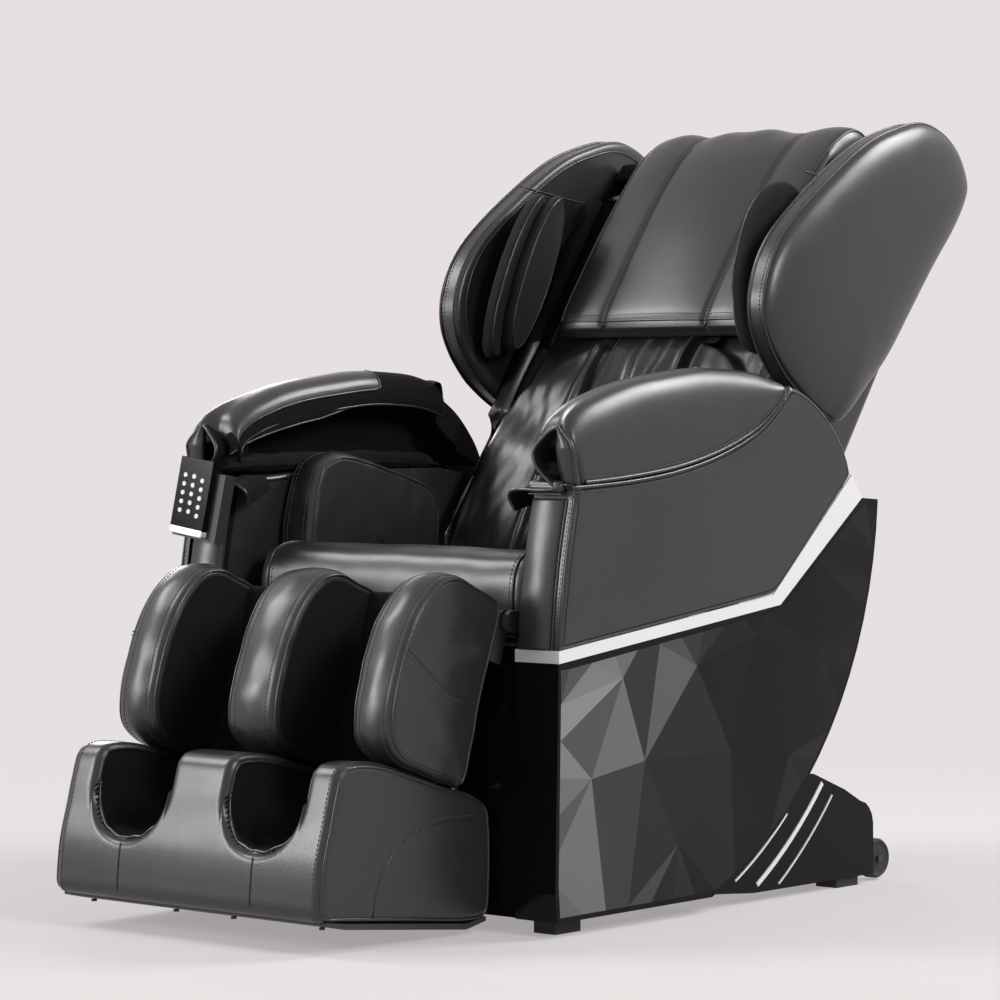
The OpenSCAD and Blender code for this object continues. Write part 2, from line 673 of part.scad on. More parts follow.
module back_pad() color(leather) in_back()
    cushioned([[pad_rear, -12], [pad_rear, 690], [-pad_front + 10, 700], [-pad_front, 690],
        [-pad_front, 390], [-pad_front - 8, 370], [-pad_front - 8, 260], [-pad_front - 10, 160],
        [-pad_front - 2, 40], [-pad_front + 6, -8]], -back_w / 2, back_w / 2, 24, 0.03);

wing_outline = [
    [-96, 757], [-152, 681], [-201, 574], [-237, 470], [-245, 405], [-232, 350], [-204, 314], [-166, 294],
    [-124, 284], [-94, 283], [-44, 285], [5, 293], [40, 306], [64, 384], [81, 450], [90, 531], [100, 635],
    [112, 722], [112, 780], [98, 806], [58, 824], [10, 822], [-46, 801]];
wing_c = mean(wing_outline);
// Rings of a wing, each with its place across and its share of the outline: flat inside, domed outside
module wing() color(leather) in_back() lofted([
    for (r = [[wing_in, 0.975], [wing_in + 3, 0.992], [wing_in + 8, 1], [wing_rim, 1], [wing_rim + 6, 0.985],
        [wing_rim + 13, 0.94], [wing_rim + 21, 0.84], [wing_rim + 26, 0.68], [wing_rim + 29, 0.4]])
        [for (i = [len(wing_outline) - 1:-1:0]) let (p = wing_c + (wing_outline[i] - wing_c) * r[1]) [r[0], p.x, p.y]]]);
module wing_left() wing();
module wing_right() mirror([1, 0, 0]) wing();

// Two air pads inside each wing, lapped one over the other; both lean inwards from their rear edge
air_pad_lean = 0.3;
air_pad_rear = -100;
module wing_air_pads() color("#17171a") both() in_back()
    multmatrix([[1, air_pad_lean, 0, -air_pad_lean * air_pad_rear], [0, 1, 0, 0], [0, 0, 1, 0], [0, 0, 0, 1]]) {
    for (i = [0, 1]) {
        c = i == 0 ? [-158, 448] : [-140, 462];
        a = i == 0 ? [62, 138] : [54, 128];
        ring = [for (k = [0:17]) let (t = 20 * k)
            [c.x + a.x * cos(t) - 26 * sin(t), c.y + a.y * sin(t)]];
        cushioned(ring, wing_in - (i + 1) * air_pad_t, wing_in - i * air_pad_t - seat_gap, 10, 0.14, held = 0);
    }
}

pillow_w = back_w - 120;
pillow_front = -pad_front - 27;
pillow_back = -pad_front - 0.5;
crown_z = shell_top + 0.5;
crown_y = shell_v - 68;
pillow_outline = [
    [pillow_back, 396], [pillow_back, 420], [pillow_back, 600], [pillow_back, 702], [-22, 722],
    [-20.5, crown_z], [26, crown_z], [crown_y, crown_z],
    [crown_y + 2, crown_z + 8], [crown_y - 18, crown_z + 24], [24, back_len - 2], [-16, back_len],
    [-44, back_len - 22], [-72, 700], [pillow_front, 600], [pillow_front, 420], [pillow_front + 8, 398]];
module head_pillow() color(leather) in_back()
    cushioned(pillow_outline, -pillow_w / 2, pillow_w / 2, 20, 0.02, grooves = [-100, 100], held = 8);

// ---- massage mechanism ----
carriage_z = 170;
shaft_y = 8;
module massage_carriage() color("silver") in_back() translate([0, 0, carriage_z]) {
    difference() {
        union() {
            both() translate([rail_x - 22, -8, -30]) cube([6, 60, 60]);
            translate([-rail_x + 20, 34, -24]) cube([2 * rail_x - 40, 22, 48]);
        }
        pin(-rail_x, rail_x, shaft_y, 0, knead_r + run_fit);
    }
    // guide rollers that run in the rails
    both() for (z = [-20, 20]) {
        pin(rail_x - 17, rail_x + 10, 27 + guide_w / 2, z, 5);
        pin(rail_x + 1, rail_x + 10.7, 27 + guide_w / 2, z, guide_w / 2 - seat_gap);
    }
    // drive motor
    translate([0, 56 + 18, 0]) rotate([90, 0, 90]) cylinder(h = 90, r = 18, center = true);
}

module kneading_shaft() color("gray") in_back() translate([0, 0, carriage_z])
    translate([0, shaft_y, 0]) {
        pin(-rail_x + 4, rail_x - 4, 0, 0, knead_r);
        both() pin(rail_x - 12, rail_x - 6, 0, 0, 14);
    }

module massage_arms() color("tan") in_back() translate([0, shaft_y, carriage_z]) both() {
    difference() {
        union() {
            pin(26, 40, 0, 0, 18);
            translate([29, -14, -50]) cube([8, 14, 100]);
        }
        pin(20, 60, 0, 0, knead_r + run_fit);
    }
    for (z = [-46, 46]) pin(22, 46, -9, z, roller_r - 4);
}

// ---- actuators: a body with a bored tube and a rod that slides in it ----
module actuator(x, a, b, stroke) {
    len_ab = norm(b - a);
    between(x, a, b) difference() {
        union() {
            rotate([0, 90, 0]) cylinder(h = len_ab - stroke - 70, r = act_r);
            translate([20, -act_r, -act_r - 34]) cube([70, 2 * act_r, 40]);
            rotate([90, 0, 0]) cylinder(h = 2 * act_r + 2, r = 16, center = true);
        }
        rotate([90, 0, 0]) cylinder(h = 60, r = act_pin_r + run_fit, center = true);
        translate([26, 0, 0]) rotate([0, 90, 0]) cylinder(h = len_ab, r = act_rod_r + run_fit);
    }
}

module actuator_rod(x, a, b, reach) {
    len_ab = norm(b - a);
    between(x, a, b) {
        translate([reach, 0, 0]) rotate([0, 90, 0]) cylinder(h = len_ab - reach - 26, r = act_rod_r);
        for (s = [-1, 1])
            translate([len_ab - 40, s * 9 - 3, -12]) cube([52, 6, 24]);
        translate([len_ab - 40, -12, -12]) cube([14, 24, 24]);
        translate([len_ab, 0, 0]) rotate([90, 0, 0]) cylinder(h = 30, r = act_pin_r, center = true);
    }
}

module back_actuator() color("gray") actuator(back_act_x, back_act_pivot, back_act_pin, 96);
module back_actuator_rod() color("silver") actuator_rod(back_act_x, back_act_pivot, back_act_pin, 130);
module leg_actuator() color("gray") actuator(leg_act_x, leg_act_pivot, leg_act_pin, 10);
module leg_actuator_rod() color("silver") actuator_rod(leg_act_x, leg_act_pivot, leg_act_pin, 60);

// ---- leg rest: local y rearward, local z up along the leg ----
slide_x = calf_w / 2 - 38;
slide_low = -225;
calf_back = 14;
module leg_frame() color("dimgray") {
    in_leg() {
        both() {
            difference() {
                union() {
                    pin(calf_w / 2 - 10, calf_w / 2 - 4, 0, 0, calf_back);
                    translate([calf_w / 2 - 10, -14, -60]) cube([6, 24, 60]);
                }
                pin(calf_w / 2 - 14, calf_w / 2 - 3, 0, 0, leg_pin_r + run_fit);
            }
            // outer tubes of the foot slide
            difference() {
                translate([slide_x, 0, slide_low]) cylinder(h = -slide_low - 30, r = rod_r + 4);
                translate([slide_x, 0, slide_low - 1]) cylinder(h = -slide_low, r = rod_r + run_fit);
            }
            translate([slide_x + rod_r + 1, -14, -60]) cube([calf_w / 2 - 6 - slide_x - rod_r, 12, 20]);
        }
        for (z = [-64, slide_low + 8])
            translate([rod_r + 1 - slide_x, -12, z]) cube([2 * (slide_x - rod_r - 1), 12, 26]);
        translate([-60, -12, slide_low + 20]) cube([120, 6, 160]);
        pin(10 - calf_w / 2, calf_w / 2 - 10, 0, 0, 12);
    }
    drive_lever(leg_act_x, [-leg_y, leg_z], leg_act_pin, 19);
}

function calf_profile() = let (f = calf_back + calf_depth + 14, l = calf_len - 26) concat(
    [[-calf_back, -l], [-calf_back, 22]],
    [[-70, 26], [-105, 32], [-142, 16], [-172, -26]],
    [[-f + 1, -76], [-f, -130], [-f + 3, -179]],
    arc([-f + 50, 50 - l], 46, 175, 265, 4));
module calf_rest() color(leather) difference() {
    in_leg() cushioned(calf_profile(), -calf_w / 2, calf_w / 2, 22, 0.07, 4);
    in_leg() both() translate([0, 0, -400]) linear_extrude(500) hull() {
        for (x = [mid_pad + 26, calf_w / 2 - side_pad - 26]) {
            translate([x, -calf_back - 60]) circle(26, $fn = 24);
            translate([x, -calf_back - 250]) circle(26, $fn = 24);
        }
    }
}

// Sole plate and the rods that carry the foot box
sole_top = [[-360, 22], [-400, 16], [-640, 41], [-676, 46]];
module foot_slide() color("silver") {
    in_leg() both() translate([slide_x, 0, -330]) cylinder(h = 290, r = rod_r);
    difference() {
        across(-foot_w / 2 + 3, foot_w / 2 - 3) polygon(concat(
            [[-676, 41], [-640, 33], [-400, 8], [-360, 16]], sole_top));
        both() for (y = [-610, -430]) translate([foot_w / 2 - 30, y, 0]) cylinder(h = 80, r = 3);
    }
    // lugs of the roller shaft
    both() for (x = [52, 201]) difference() {
        translate([x, -560, 20]) cube([5, 36, sole_z - 20]);
        pin(x - 1, x + 6, sole_y, sole_z, 6 + run_fit);
    }
}

sole_y = -542;
sole_z = 92;
well_x = foot_w / 4;
module foot_box() color(leather) difference() {
    cushioned(concat(
        [[-400, 16.3], [-356, 24], [-352, 60], [-352, 150], [-364, 180], [-433, 203], [-576, 249]],
        arc([-634, 228], 22, 90, 165, 3),
        [[-672, 170], [-686, 124], [-693, 60], [-684, 48], [-640, 41.3]]),
        -foot_w / 2, foot_w / 2, 16, 0.04, 3);
    // wells for the feet
    both() translate([well_x, -700, 0]) foot_well();
    // room for the roller shaft
    translate([-208, sole_y - 26, 20]) cube([416, 52, sole_z + sole_roller_r - 19]);
    in_leg() both() translate([slide_x, 0, -332]) cylinder(h = 400, r = rod_r + 0.3);
}

// Round-bottomed trough that runs out through the toe end
module foot_well() {
    r = well_w / 2;
    translate([0, -10, 128 + r]) rotate([-90, 0, 0]) cylinder(h = 330, r = r);
    translate([-r, -10, 128 + r]) cube([well_w, 330, 200]);
}

module sole_rollers() color("tan") {
    pin(-206, 206, sole_y, sole_z, 6);
    both() for (x = [80, 150]) pin(x, x + 26, sole_y, sole_z, sole_roller_r);
}

// Screw heads under the toe edge of the sole plate
module sole_screws() color("silver") both()
    for (x = [55, foot_w / 2 - 35])
        translate([x, -650, 34.6 - 3.2]) cylinder(h = 3, r = 4);

base_frame();
seat_board();
floor_feet();
rear_cover_left();
rear_cover_right();
rear_cover_trims();
power_box();
side_panel_left();
side_panel_right();
side_trims();
arm_cover_left();
arm_cover_right();
arm_hood_left();
arm_hood_right();
arm_fronts();
front_cover();
arm_linings();
hip_pad_left();
hip_pad_right();
seat_cushion();
handset_holder();
wheel_left();
wheel_right();
power_switch();
handset();
key_11();
key_12();
key_13();
key_14();
key_15();
key_21();
key_22();
key_23();
key_24();
key_25();
key_31();
key_32();
key_33();
key_34();
key_35();
back_frame();
back_shell();
back_pad();
wing_left();
wing_right();
wing_air_pads();
head_pillow();
massage_carriage();
kneading_shaft();
massage_arms();
back_actuator();
back_actuator_rod();
leg_frame();
calf_rest();
foot_slide();
foot_box();
sole_rollers();
sole_screws();
leg_actuator();
leg_actuator_rod();
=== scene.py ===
"""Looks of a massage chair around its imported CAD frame: leather, fabric, gloss panels and trims.

Lengths are metres in the chair's own frame: it faces -Y, +X is the sitter's left, +Z is up.
"""
import json
import math

import bmesh
import bpy
import numpy as np
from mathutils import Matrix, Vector
from mathutils.geometry import delaunay_2d_cdt


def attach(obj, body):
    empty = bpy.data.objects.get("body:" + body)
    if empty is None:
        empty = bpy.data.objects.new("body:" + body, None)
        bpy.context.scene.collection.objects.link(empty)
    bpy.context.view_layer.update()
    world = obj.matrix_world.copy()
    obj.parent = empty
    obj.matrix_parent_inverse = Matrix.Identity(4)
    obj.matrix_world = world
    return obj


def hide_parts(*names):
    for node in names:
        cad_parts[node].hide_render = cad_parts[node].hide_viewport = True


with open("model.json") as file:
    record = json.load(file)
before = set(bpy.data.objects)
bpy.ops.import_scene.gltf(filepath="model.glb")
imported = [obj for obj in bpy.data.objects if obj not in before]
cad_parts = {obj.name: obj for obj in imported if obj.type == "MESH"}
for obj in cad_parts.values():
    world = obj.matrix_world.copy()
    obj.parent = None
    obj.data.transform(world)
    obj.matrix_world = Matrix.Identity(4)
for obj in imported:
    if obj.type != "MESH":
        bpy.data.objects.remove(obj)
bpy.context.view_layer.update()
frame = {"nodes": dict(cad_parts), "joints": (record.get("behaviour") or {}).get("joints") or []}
joints = {j["name"]: j for j in frame["joints"]}
MM = 0.001


# ---------------------------------------------------------------- places

class Place:
    """A slanted frame of the chair: local (x, y, z), with z along the given direction in the (y, z) plane."""

    def __init__(self, origin, up):
        self.origin = np.array([0.0, origin[1], origin[2]])
        up = np.array([0.0, up[1], up[2]]) / math.hypot(up[1], up[2])
        self.axes = np.array([[1.0, 0.0, 0.0], [0.0, up[2], -up[1]], up])

    def __call__(self, points):
        return np.asarray(points, float) @ self.axes + self.origin

    def local(self, points):
        """The chair's points in this frame."""
        return (np.asarray(points, float) - self.origin) @ self.axes.T


carriage_dir = joints["carriage_travel"]["axis"]
foot_dir = joints["foot_rest_extend"]["axis"]
on_back = Place(joints["backrest_recline"]["pos_m"], carriage_dir)
on_leg = Place(joints["leg_rest_lift"]["pos_m"], [-v for v in foot_dir])


def mm(points):
    """Millimetres as metres."""
    return np.asarray(points, float) * MM


def on_base(points):
    """The chair's own frame."""
    return np.asarray(points, float)


def mirrored(points):
    """The same points on the sitter's right."""
    return np.asarray(points) * np.array([-1.0, 1.0, 1.0])


def spots(*parts):
    """Points with these coordinates, each spread over the rows and columns of the others."""
    return np.stack(np.broadcast_arrays(*parts), -1)


# ---------------------------------------------------------------- curves

def curve(points, count, closed=True):
    """Catmull-Rom spline through the points, resampled at equal arc lengths."""
    p = np.asarray(points, float)
    n = len(p)
    t = np.linspace(0, n if closed else n - 1, n * 24, endpoint=not closed)
    i = np.minimum(np.floor(t).astype(int), n - 1 if closed else n - 2)
    f = (t - i)[:, None]
    if closed:
        a, b, c, d = (p[(i + k) % n] for k in (-1, 0, 1, 2))
    else:
        a, b, c, d = (p[np.clip(i + k, 0, n - 1)] for k in (-1, 0, 1, 2))
    q = 0.5 * (2 * b + (c - a) * f + (2 * a - 5 * b + 4 * c - d) * f ** 2 + (3 * b - a - 3 * c + d) * f ** 3)
    return even(q, count, closed)


def even(q, count, closed=True):
    """Points of a polyline at equal arc lengths."""
    if closed:
        q = np.vstack([q, q[:1]])
    s = np.concatenate([[0], np.cumsum(np.linalg.norm(np.diff(q, axis=0), axis=1))])
    at = np.linspace(0, s[-1], count, endpoint=not closed)
    return np.stack([np.interp(at, s, q[:, k]) for k in range(q.shape[1])], -1)


def rounded(corners, radius, count):
    """Closed outline whose straight sides meet in arcs: each corner is cut back by the radius and blended."""
    p = np.asarray(corners, float)
    r = np.broadcast_to(radius, len(p))[:, None]
    before, after = np.roll(p, 1, 0) - p, np.roll(p, -1, 0) - p
    size_b, size_a = (np.linalg.norm(v, axis=1, keepdims=True) for v in (before, after))
    a = p + before / size_b * np.minimum(r, size_b * 0.48)
    b = p + after / size_a * np.minimum(r, size_a * 0.48)
    t = np.linspace(0, 1, 12)[None, :, None]
    bend = (1 - t) ** 2 * a[:, None] + 2 * t * (1 - t) * p[:, None] + t ** 2 * b[:, None]
    return even(bend.reshape(-1, 2), count)


def inward(outline):
    """Unit normals of a closed outline, towards its inside."""
    t = np.roll(outline, -1, 0) - np.roll(outline, 1, 0)
    n = np.stack([-t[:, 1], t[:, 0]], -1)
    n /= np.linalg.norm(n, axis=1, keepdims=True)
    y, z = outline.T
    area = np.sum(y * np.roll(z, -1) - np.roll(y, -1) * z)
    return n * np.sign(area)


def smooth(low, high, value):
    """0 below low, 1 above high, and an even S between them."""
    t = np.clip((value - low) / (high - low), 0, 1)
    return t * t * (3 - 2 * t)


def bell(distance, width):
    """1 at no distance, falling off over the width."""
    return np.exp(-(distance / width) ** 2)


def uneven(points, size, seed):
    """Smooth unevenness of about +-1: sine waves near the given size, in fixed directions."""
    rng = np.random.default_rng(seed)
    k = rng.normal(size=(9, 3))
    k *= (2 * math.pi / size * rng.uniform(0.6, 1.5, (9, 1))) / np.linalg.norm(k, axis=1, keepdims=True)
    return np.sin(points @ k.T + rng.uniform(0, 6.28, 9)).sum(-1) / 3


# ---------------------------------------------------------------- surfaces

def normals(P):
    """Unit normals of a grid whose rows are rings, from the slopes along its rows and columns."""
    n = np.cross(np.gradient(P, axis=0), np.roll(P, -1, 1) - np.roll(P, 1, 1))
    return n / np.maximum(np.linalg.norm(n, axis=-1, keepdims=True), 1e-12)


class Pad:
    """A stuffed piece: an outline in (y, z) carried across x.

    Rows run from the middle of one face to its rim, round the edge, across, and back to the middle of
    the other face. A face row is the rim shrunk towards the outline's middle and raised by the crown
    times 1 - s^2; an edge row is the outline drawn in by edge times 1 - sin a; the band between is drawn
    in by depth at each groove and swells between its ends. Where a row is drawn in, its corners are eased in the
    same share. band is the number of the band's rows, or their places, and face is the number of a face's rows.
    """
    easing_passes = 12
    edge_rows = 8

    def __init__(self, outline, x0, x1, edge, crown=(0, 0), swell=0.0, grooves=(), depth=0.002,
                 width=0.004, band=44, face=16, middle=None):
        s = np.linspace(0, 1, face)
        a = np.linspace(0, math.pi / 2, self.edge_rows + 1)[1:]
        across = np.linspace(x0 + edge, x1 - edge, band)[1:-1] if np.ndim(band) == 0 else np.asarray(band)
        t = (across - x0 - edge) / (x1 - x0 - 2 * edge)
        draw = -swell * np.sin(math.pi * t)
        for g in grooves:
            draw = draw + depth * bell(across - g, width) - 0.45 * depth * bell(np.abs(across - g) - 2 * width, width)
        self.x = np.concatenate([x0 - crown[0] * (1 - s ** 2), x0 + edge * (1 - np.cos(a)), across,
                                 (x1 - edge * (1 - np.cos(a)))[::-1], (x1 + crown[1] * (1 - s ** 2))[::-1]])
        self.inset = np.concatenate([np.full(face, edge), edge * (1 - np.sin(a)), draw,
                                     edge * (1 - np.sin(a))[::-1], np.full(face, edge)])
        self.shrink = np.concatenate([s, np.ones(len(across) + 2 * self.edge_rows), s[::-1]])
        self.left_rim, self.right_rim = face - 1, len(self.x) - face
        c = outline.mean(0) if middle is None else np.array(middle)
        ring = outline[None] + inward(outline)[None] * self.inset[:, None, None]
        eased_ring = ring
        for _ in range(self.easing_passes):
            eased_ring = (np.roll(eased_ring, 1, 1) + eased_ring + np.roll(eased_ring, -1, 1)) / 3
        ring = ring + (eased_ring - ring) * np.clip(self.inset / edge, 0, 1)[:, None, None]
        yz = c + (ring - c) * self.shrink[:, None, None]
        self.P = spots(self.x[:, None], yz[..., 0], yz[..., 1])

    def outward(self):
        """Unit normals that point away from the middle."""
        n = normals(self.P)
        return n * np.sign(np.sum(n * (self.P - self.P.mean((0, 1))), -1).mean())

    def push(self, amount):
        """Moves every point out along its normal by amount, and less near the middle of a face."""
        self.P = self.P + self.outward() * (np.asarray(amount) * np.minimum(1, 5 * self.shrink)[:, None])[..., None]
        return self

    def ripple(self, size, height, seed):
        """Soft unevenness of the given height, and half of it again at a third of the size."""
        return self.push(height * (uneven(self.P, size, seed) + 0.5 * uneven(self.P, size / 3, seed + 1)))

    def ring(self, row, lift=0.0):
        """A row's points, lifted off the surface."""
        return self.P[row] + self.outward()[row] * lift

    def at(self, x):
        """The band's row nearest to x."""
        return int(np.argmin(np.where(self.shrink < 1, 9.0, np.abs(self.x - x))))

    def on_face(self, path, right, lift=0.0):
        """A (y, z) path laid on the left or right face: each point takes the nearest grid point's x."""
        rows = slice(self.right_rim, None) if right else slice(0, self.left_rim + 1)
        P = self.P[rows].reshape(-1, 3)
        near = np.argmin(((path[:, None] - P[None, :, 1:]) ** 2).sum(-1), 1)
        x = P[near, 0]
        x = np.convolve(np.pad(x, 3, "edge"), np.full(7, 1 / 7), "valid")
        return np.column_stack([x + (lift if right else -lift), path])

    def finish(self, left, band, right):
        """A column of finishes for Shape.grid: one for each face and one for the band."""
        i = np.arange(len(self.x) - 1)
        return np.where(i < self.left_rim, left, np.where(i >= self.right_rim, right, band))[:, None]


def slab(outer, inner, ends=(True, True), rows=7):
    """Closed skin between two grids of rows. At a closed end the rows draw in to the middle of the wall, by a
    quarter circle, over the given number of rows."""
    middle = (outer + inner) / 2
    share = np.ones(len(outer))
    t = np.sin(np.linspace(0, math.pi / 2, rows))
    if ends[0]:
        share[:rows] = t
    if ends[1]:
        share[-rows:] = t[::-1]
    share = share[:, None, None]
    return np.concatenate([middle + (outer - middle) * share, (middle + (inner - middle) * share)[:, ::-1]], 1)


def eased(low, high, count, lead):
    """Places from low to high. The seven rows over the lead at each end stand as the points of a quarter circle."""
    t = lead * (1 - np.cos(np.linspace(0, math.pi / 2, 7)))
    return np.concatenate([low + t, np.linspace(low + lead, high - lead, count)[1:-1], (high - t)[::-1]])


class Shape:
    """Grids of points gathered into one mesh, each with its own finish."""

    def __init__(self):
        self.points, self.faces, self.finishes, self.total = [], [], [], 0

    def grid(self, P, finish=0, ring=False, keep=None):
        """Quads over a (rows, columns, 3) grid whose rows are closed, or a stack of such grids. With ring the last
        row joins the first. finish is a number, or one per face, and keep says which faces are made."""
        P = np.asarray(P, float)
        stack = P.reshape((-1,) + P.shape[-3:])
        k, m, n = stack.shape[:3]
        ids = np.arange(k * m * n).reshape(k, m, n)
        ids = np.concatenate([ids, ids[:, :, :1]], 2)
        if ring:
            ids = np.concatenate([ids, ids[:, :1]], 1)
        quads = np.stack([ids[:, :-1, :-1], ids[:, :-1, 1:], ids[:, 1:, 1:], ids[:, 1:, :-1]], -1)
        finish = np.broadcast_to(finish, quads.shape[:3]).reshape(-1)
        kept = np.broadcast_to(True if keep is None else keep, quads.shape[:3]).reshape(-1)
        self.points.append(stack.reshape(-1, 3))
        self.faces.append(quads.reshape(-1, 4)[kept] + self.total)
        self.finishes.append(finish[kept])
        self.total += k * m * n
        return self

    def tube(self, path, radius, finish=0, closed=True, sides=8, normal=(1, 0, 0)):
        """A round cord: at each point of the path a circle square to it. normal is square to the path's plane."""
        path = np.asarray(path, float)
        t = (np.roll(path, -1, 0) - np.roll(path, 1, 0)) if closed else np.gradient(path, axis=0)
        t /= np.maximum(np.linalg.norm(t, axis=1, keepdims=True), 1e-9)
        side = np.cross(t, np.broadcast_to(normal, t.shape))
        side /= np.maximum(np.linalg.norm(side, axis=1, keepdims=True), 1e-9)
        up = np.cross(side, t)
        a = np.linspace(0, 2 * math.pi, sides, endpoint=False)[None, :, None]
        r = np.broadcast_to(radius, len(path))[:, None, None]
        P = path[:, None] + r * (np.cos(a) * side[:, None] + np.sin(a) * up[:, None])
        if not closed:
            P = np.concatenate([np.repeat(path[:1, None], sides, 1), P, np.repeat(path[-1:, None], sides, 1)])
        return self.grid(P, finish, ring=closed)

    def stitches(self, path, normal=(1, 0, 0), closed=True, pitch=0.0062, length=0.0046, radius=0.0007, finish=0):
        """A row of thread stitches: one small ellipsoid at each pitch of the path, long way along it."""
        path = np.asarray(path, float)
        ends = np.vstack([path, path[:1]]) if closed else path
        count = max(4, int(np.linalg.norm(np.diff(ends, axis=0), axis=1).sum() / pitch))
        at = even(path, count, closed)
        t = (np.roll(at, -1, 0) - np.roll(at, 1, 0)) if closed else np.gradient(at, axis=0)
        t /= np.maximum(np.linalg.norm(t, axis=1, keepdims=True), 1e-9)
        side = np.cross(t, np.broadcast_to(normal, t.shape))
        side /= np.maximum(np.linalg.norm(side, axis=1, keepdims=True), 1e-9)
        up = np.cross(side, t)
        lat = np.linspace(-math.pi / 2, math.pi / 2, 5)[:, None]
        lon = np.linspace(0, 2 * math.pi, 5, endpoint=False)[None]
        ball = np.stack([np.sin(lat) * length / 2 + 0 * lon, np.cos(lat) * np.cos(lon) * radius,
                         np.cos(lat) * np.sin(lon) * radius], -1)
        frames = np.stack([t, side, up], 1)
        P = np.einsum("abk,nkj->nabj", ball, frames) + at[:, None, None]
        return self.grid(P, finish)

    def build(self, name, finishes, body, slot, replaces=(), fill=None, place=on_base, side=1):
        """Makes the object, with its doubles merged and its faces turned outwards."""
        v = place(np.concatenate(self.points))
        if side < 0:
            v = mirrored(v)
        f = np.concatenate(self.faces).astype(np.int32)
        data = bpy.data.meshes.new(name)
        data.vertices.add(len(v))
        data.vertices.foreach_set("co", v.ravel())
        data.loops.add(f.size)
        data.loops.foreach_set("vertex_index", f.ravel())
        data.polygons.add(len(f))
        data.polygons.foreach_set("loop_start", np.arange(0, f.size, 4, dtype=np.int32))
        data.update(calc_edges=True)
        data.polygons.foreach_set("material_index", np.concatenate(self.finishes).astype(np.int32))
        clean(data)
        for finish in finishes:
            data.materials.append(finish)
        piece = bpy.data.objects.new(name, data)
        bpy.context.scene.collection.objects.link(piece)
        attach(piece, body)
        if replaces:
            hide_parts(*replaces)
        return piece


def clean(data, flat=False):
    """Merges doubles, drops what has no area and turns the faces outwards."""
    work = bmesh.new()
    work.from_mesh(data)
    bmesh.ops.remove_doubles(work, verts=work.verts, dist=0.00002)
    bmesh.ops.dissolve_degenerate(work, edges=work.edges, dist=0.00001)
    bmesh.ops.recalc_face_normals(work, faces=work.faces)
    for face in work.faces:
        face.smooth = not flat
    work.to_mesh(data)
    work.free()


# ---------------------------------------------------------------- shader maths

class Value:
    """A socket that is used like a number: each operator adds one Math node."""

    def __init__(self, shader, socket):
        self.shader, self.socket = shader, socket

    def math(self, operation, *others):
        return self.shader.node("ShaderNodeMath", {"operation": operation}, (self, *others))

    def __add__(self, other):
        return self.math("ADD", other)

    def __mul__(self, other):
        return self.math("MULTIPLY", other)

    def __sub__(self, other):
        return self.math("SUBTRACT", other)

    def __rsub__(self, other):
        return self.shader.node("ShaderNodeMath", {"operation": "SUBTRACT"}, (other, self))

    __radd__ = __add__
    __rmul__ = __mul__

    def above(self, edge, soft):
        """0 below the edge and 1 above it, over a soft step."""
        return self.shader.node("ShaderNodeMapRange", {"interpolation_type": "SMOOTHSTEP"},
                                (self, edge - soft, edge + soft, 0.0, 1.0))


class Shader:
    """One material. node() makes every node in it."""

    def __init__(self, name):
        self.material = bpy.data.materials.new(name)
        self.material.use_nodes = True
        self.tree = self.material.node_tree
        self.surface = self.tree.nodes["Principled BSDF"]

    def node(self, kind, settings=(), inputs=(), output=0):
        """A node with its settings made first, then its inputs given by order or by name."""
        made = self.tree.nodes.new(kind)
        for key, value in dict(settings).items():
            setattr(made, key, value)
        named = inputs.items() if isinstance(inputs, dict) else enumerate(inputs)
        for key, value in named:
            self.put(made.inputs[key], value)
        return Value(self, made.outputs[output])

    def put(self, socket, value):
        if isinstance(value, Value):
            self.tree.links.new(value.socket, socket)
        elif isinstance(value, (tuple, list)) and socket.type == "RGBA":
            socket.default_value = (*value[:3], 1.0)
        elif value is not None:
            socket.default_value = value

    def set(self, **values):
        """Sets the surface's own sockets: base_color for Base Color, and so on."""
        for key, value in values.items():
            self.put(self.surface.inputs[key.replace("_", " ").title().replace("Ior", "IOR")], value)
        return self

    def place(self):
        """Object coordinates, which equal the chair's frame."""
        return self.node("ShaderNodeTexCoord", (), (), "Object")

    def noise(self, scale, detail=3.0):
        return self.node("ShaderNodeTexNoise", (), {"Vector": self.place(), "Scale": scale, "Detail": detail})

    def cells(self, scale, feature):
        return self.node("ShaderNodeTexVoronoi", {"feature": feature},
                         {"Vector": self.place(), "Scale": scale}, "Distance")

    def mix(self, share, first, second):
        """A colour between two colours."""
        made = self.node("ShaderNodeMix", {"data_type": "RGBA"}, {}, 2)
        node = made.socket.node
        for key, value in (("Factor_Float", share), ("A_Color", first), ("B_Color", second)):
            self.put(next(s for s in node.inputs if s.identifier == key), value)
        return made

    def bump(self, height, distance, strength=1.0, under=None):
        return self.node("ShaderNodeBump", (), {"Height": height, "Distance": distance, "Strength": strength,
                                                "Normal": under})


def leather(name, dark=(0.016, 0.0162, 0.0172), light=(0.026, 0.0264, 0.0278), rough=0.31, grain=620.0, depth=0.00016):
    """Coated black hide: pebbles from cell distances, creases between them, shallow hollows under both, and a slow
    change of tone and gloss."""
    s = Shader(name)
    tone = s.noise(5.0, 4.0)
    pebble = s.cells(grain, "SMOOTH_F1")
    crease = s.cells(grain * 0.42, "DISTANCE_TO_EDGE").above(0.05, 0.05)
    fine = s.noise(grain * 2.2, 2.0)
    height = (1.0 - pebble) * 0.7 + crease * 0.35 + fine * 0.2
    soft = s.bump(s.noise(30.0, 2.0), 0.0006, 0.12)
    s.set(base_color=s.mix(tone, dark, light), roughness=rough + (s.noise(24.0, 3.0) - 0.5) * 0.12,
          normal=s.bump(height, depth, 0.55, soft), specular_ior_level=0.5)
    return s.material


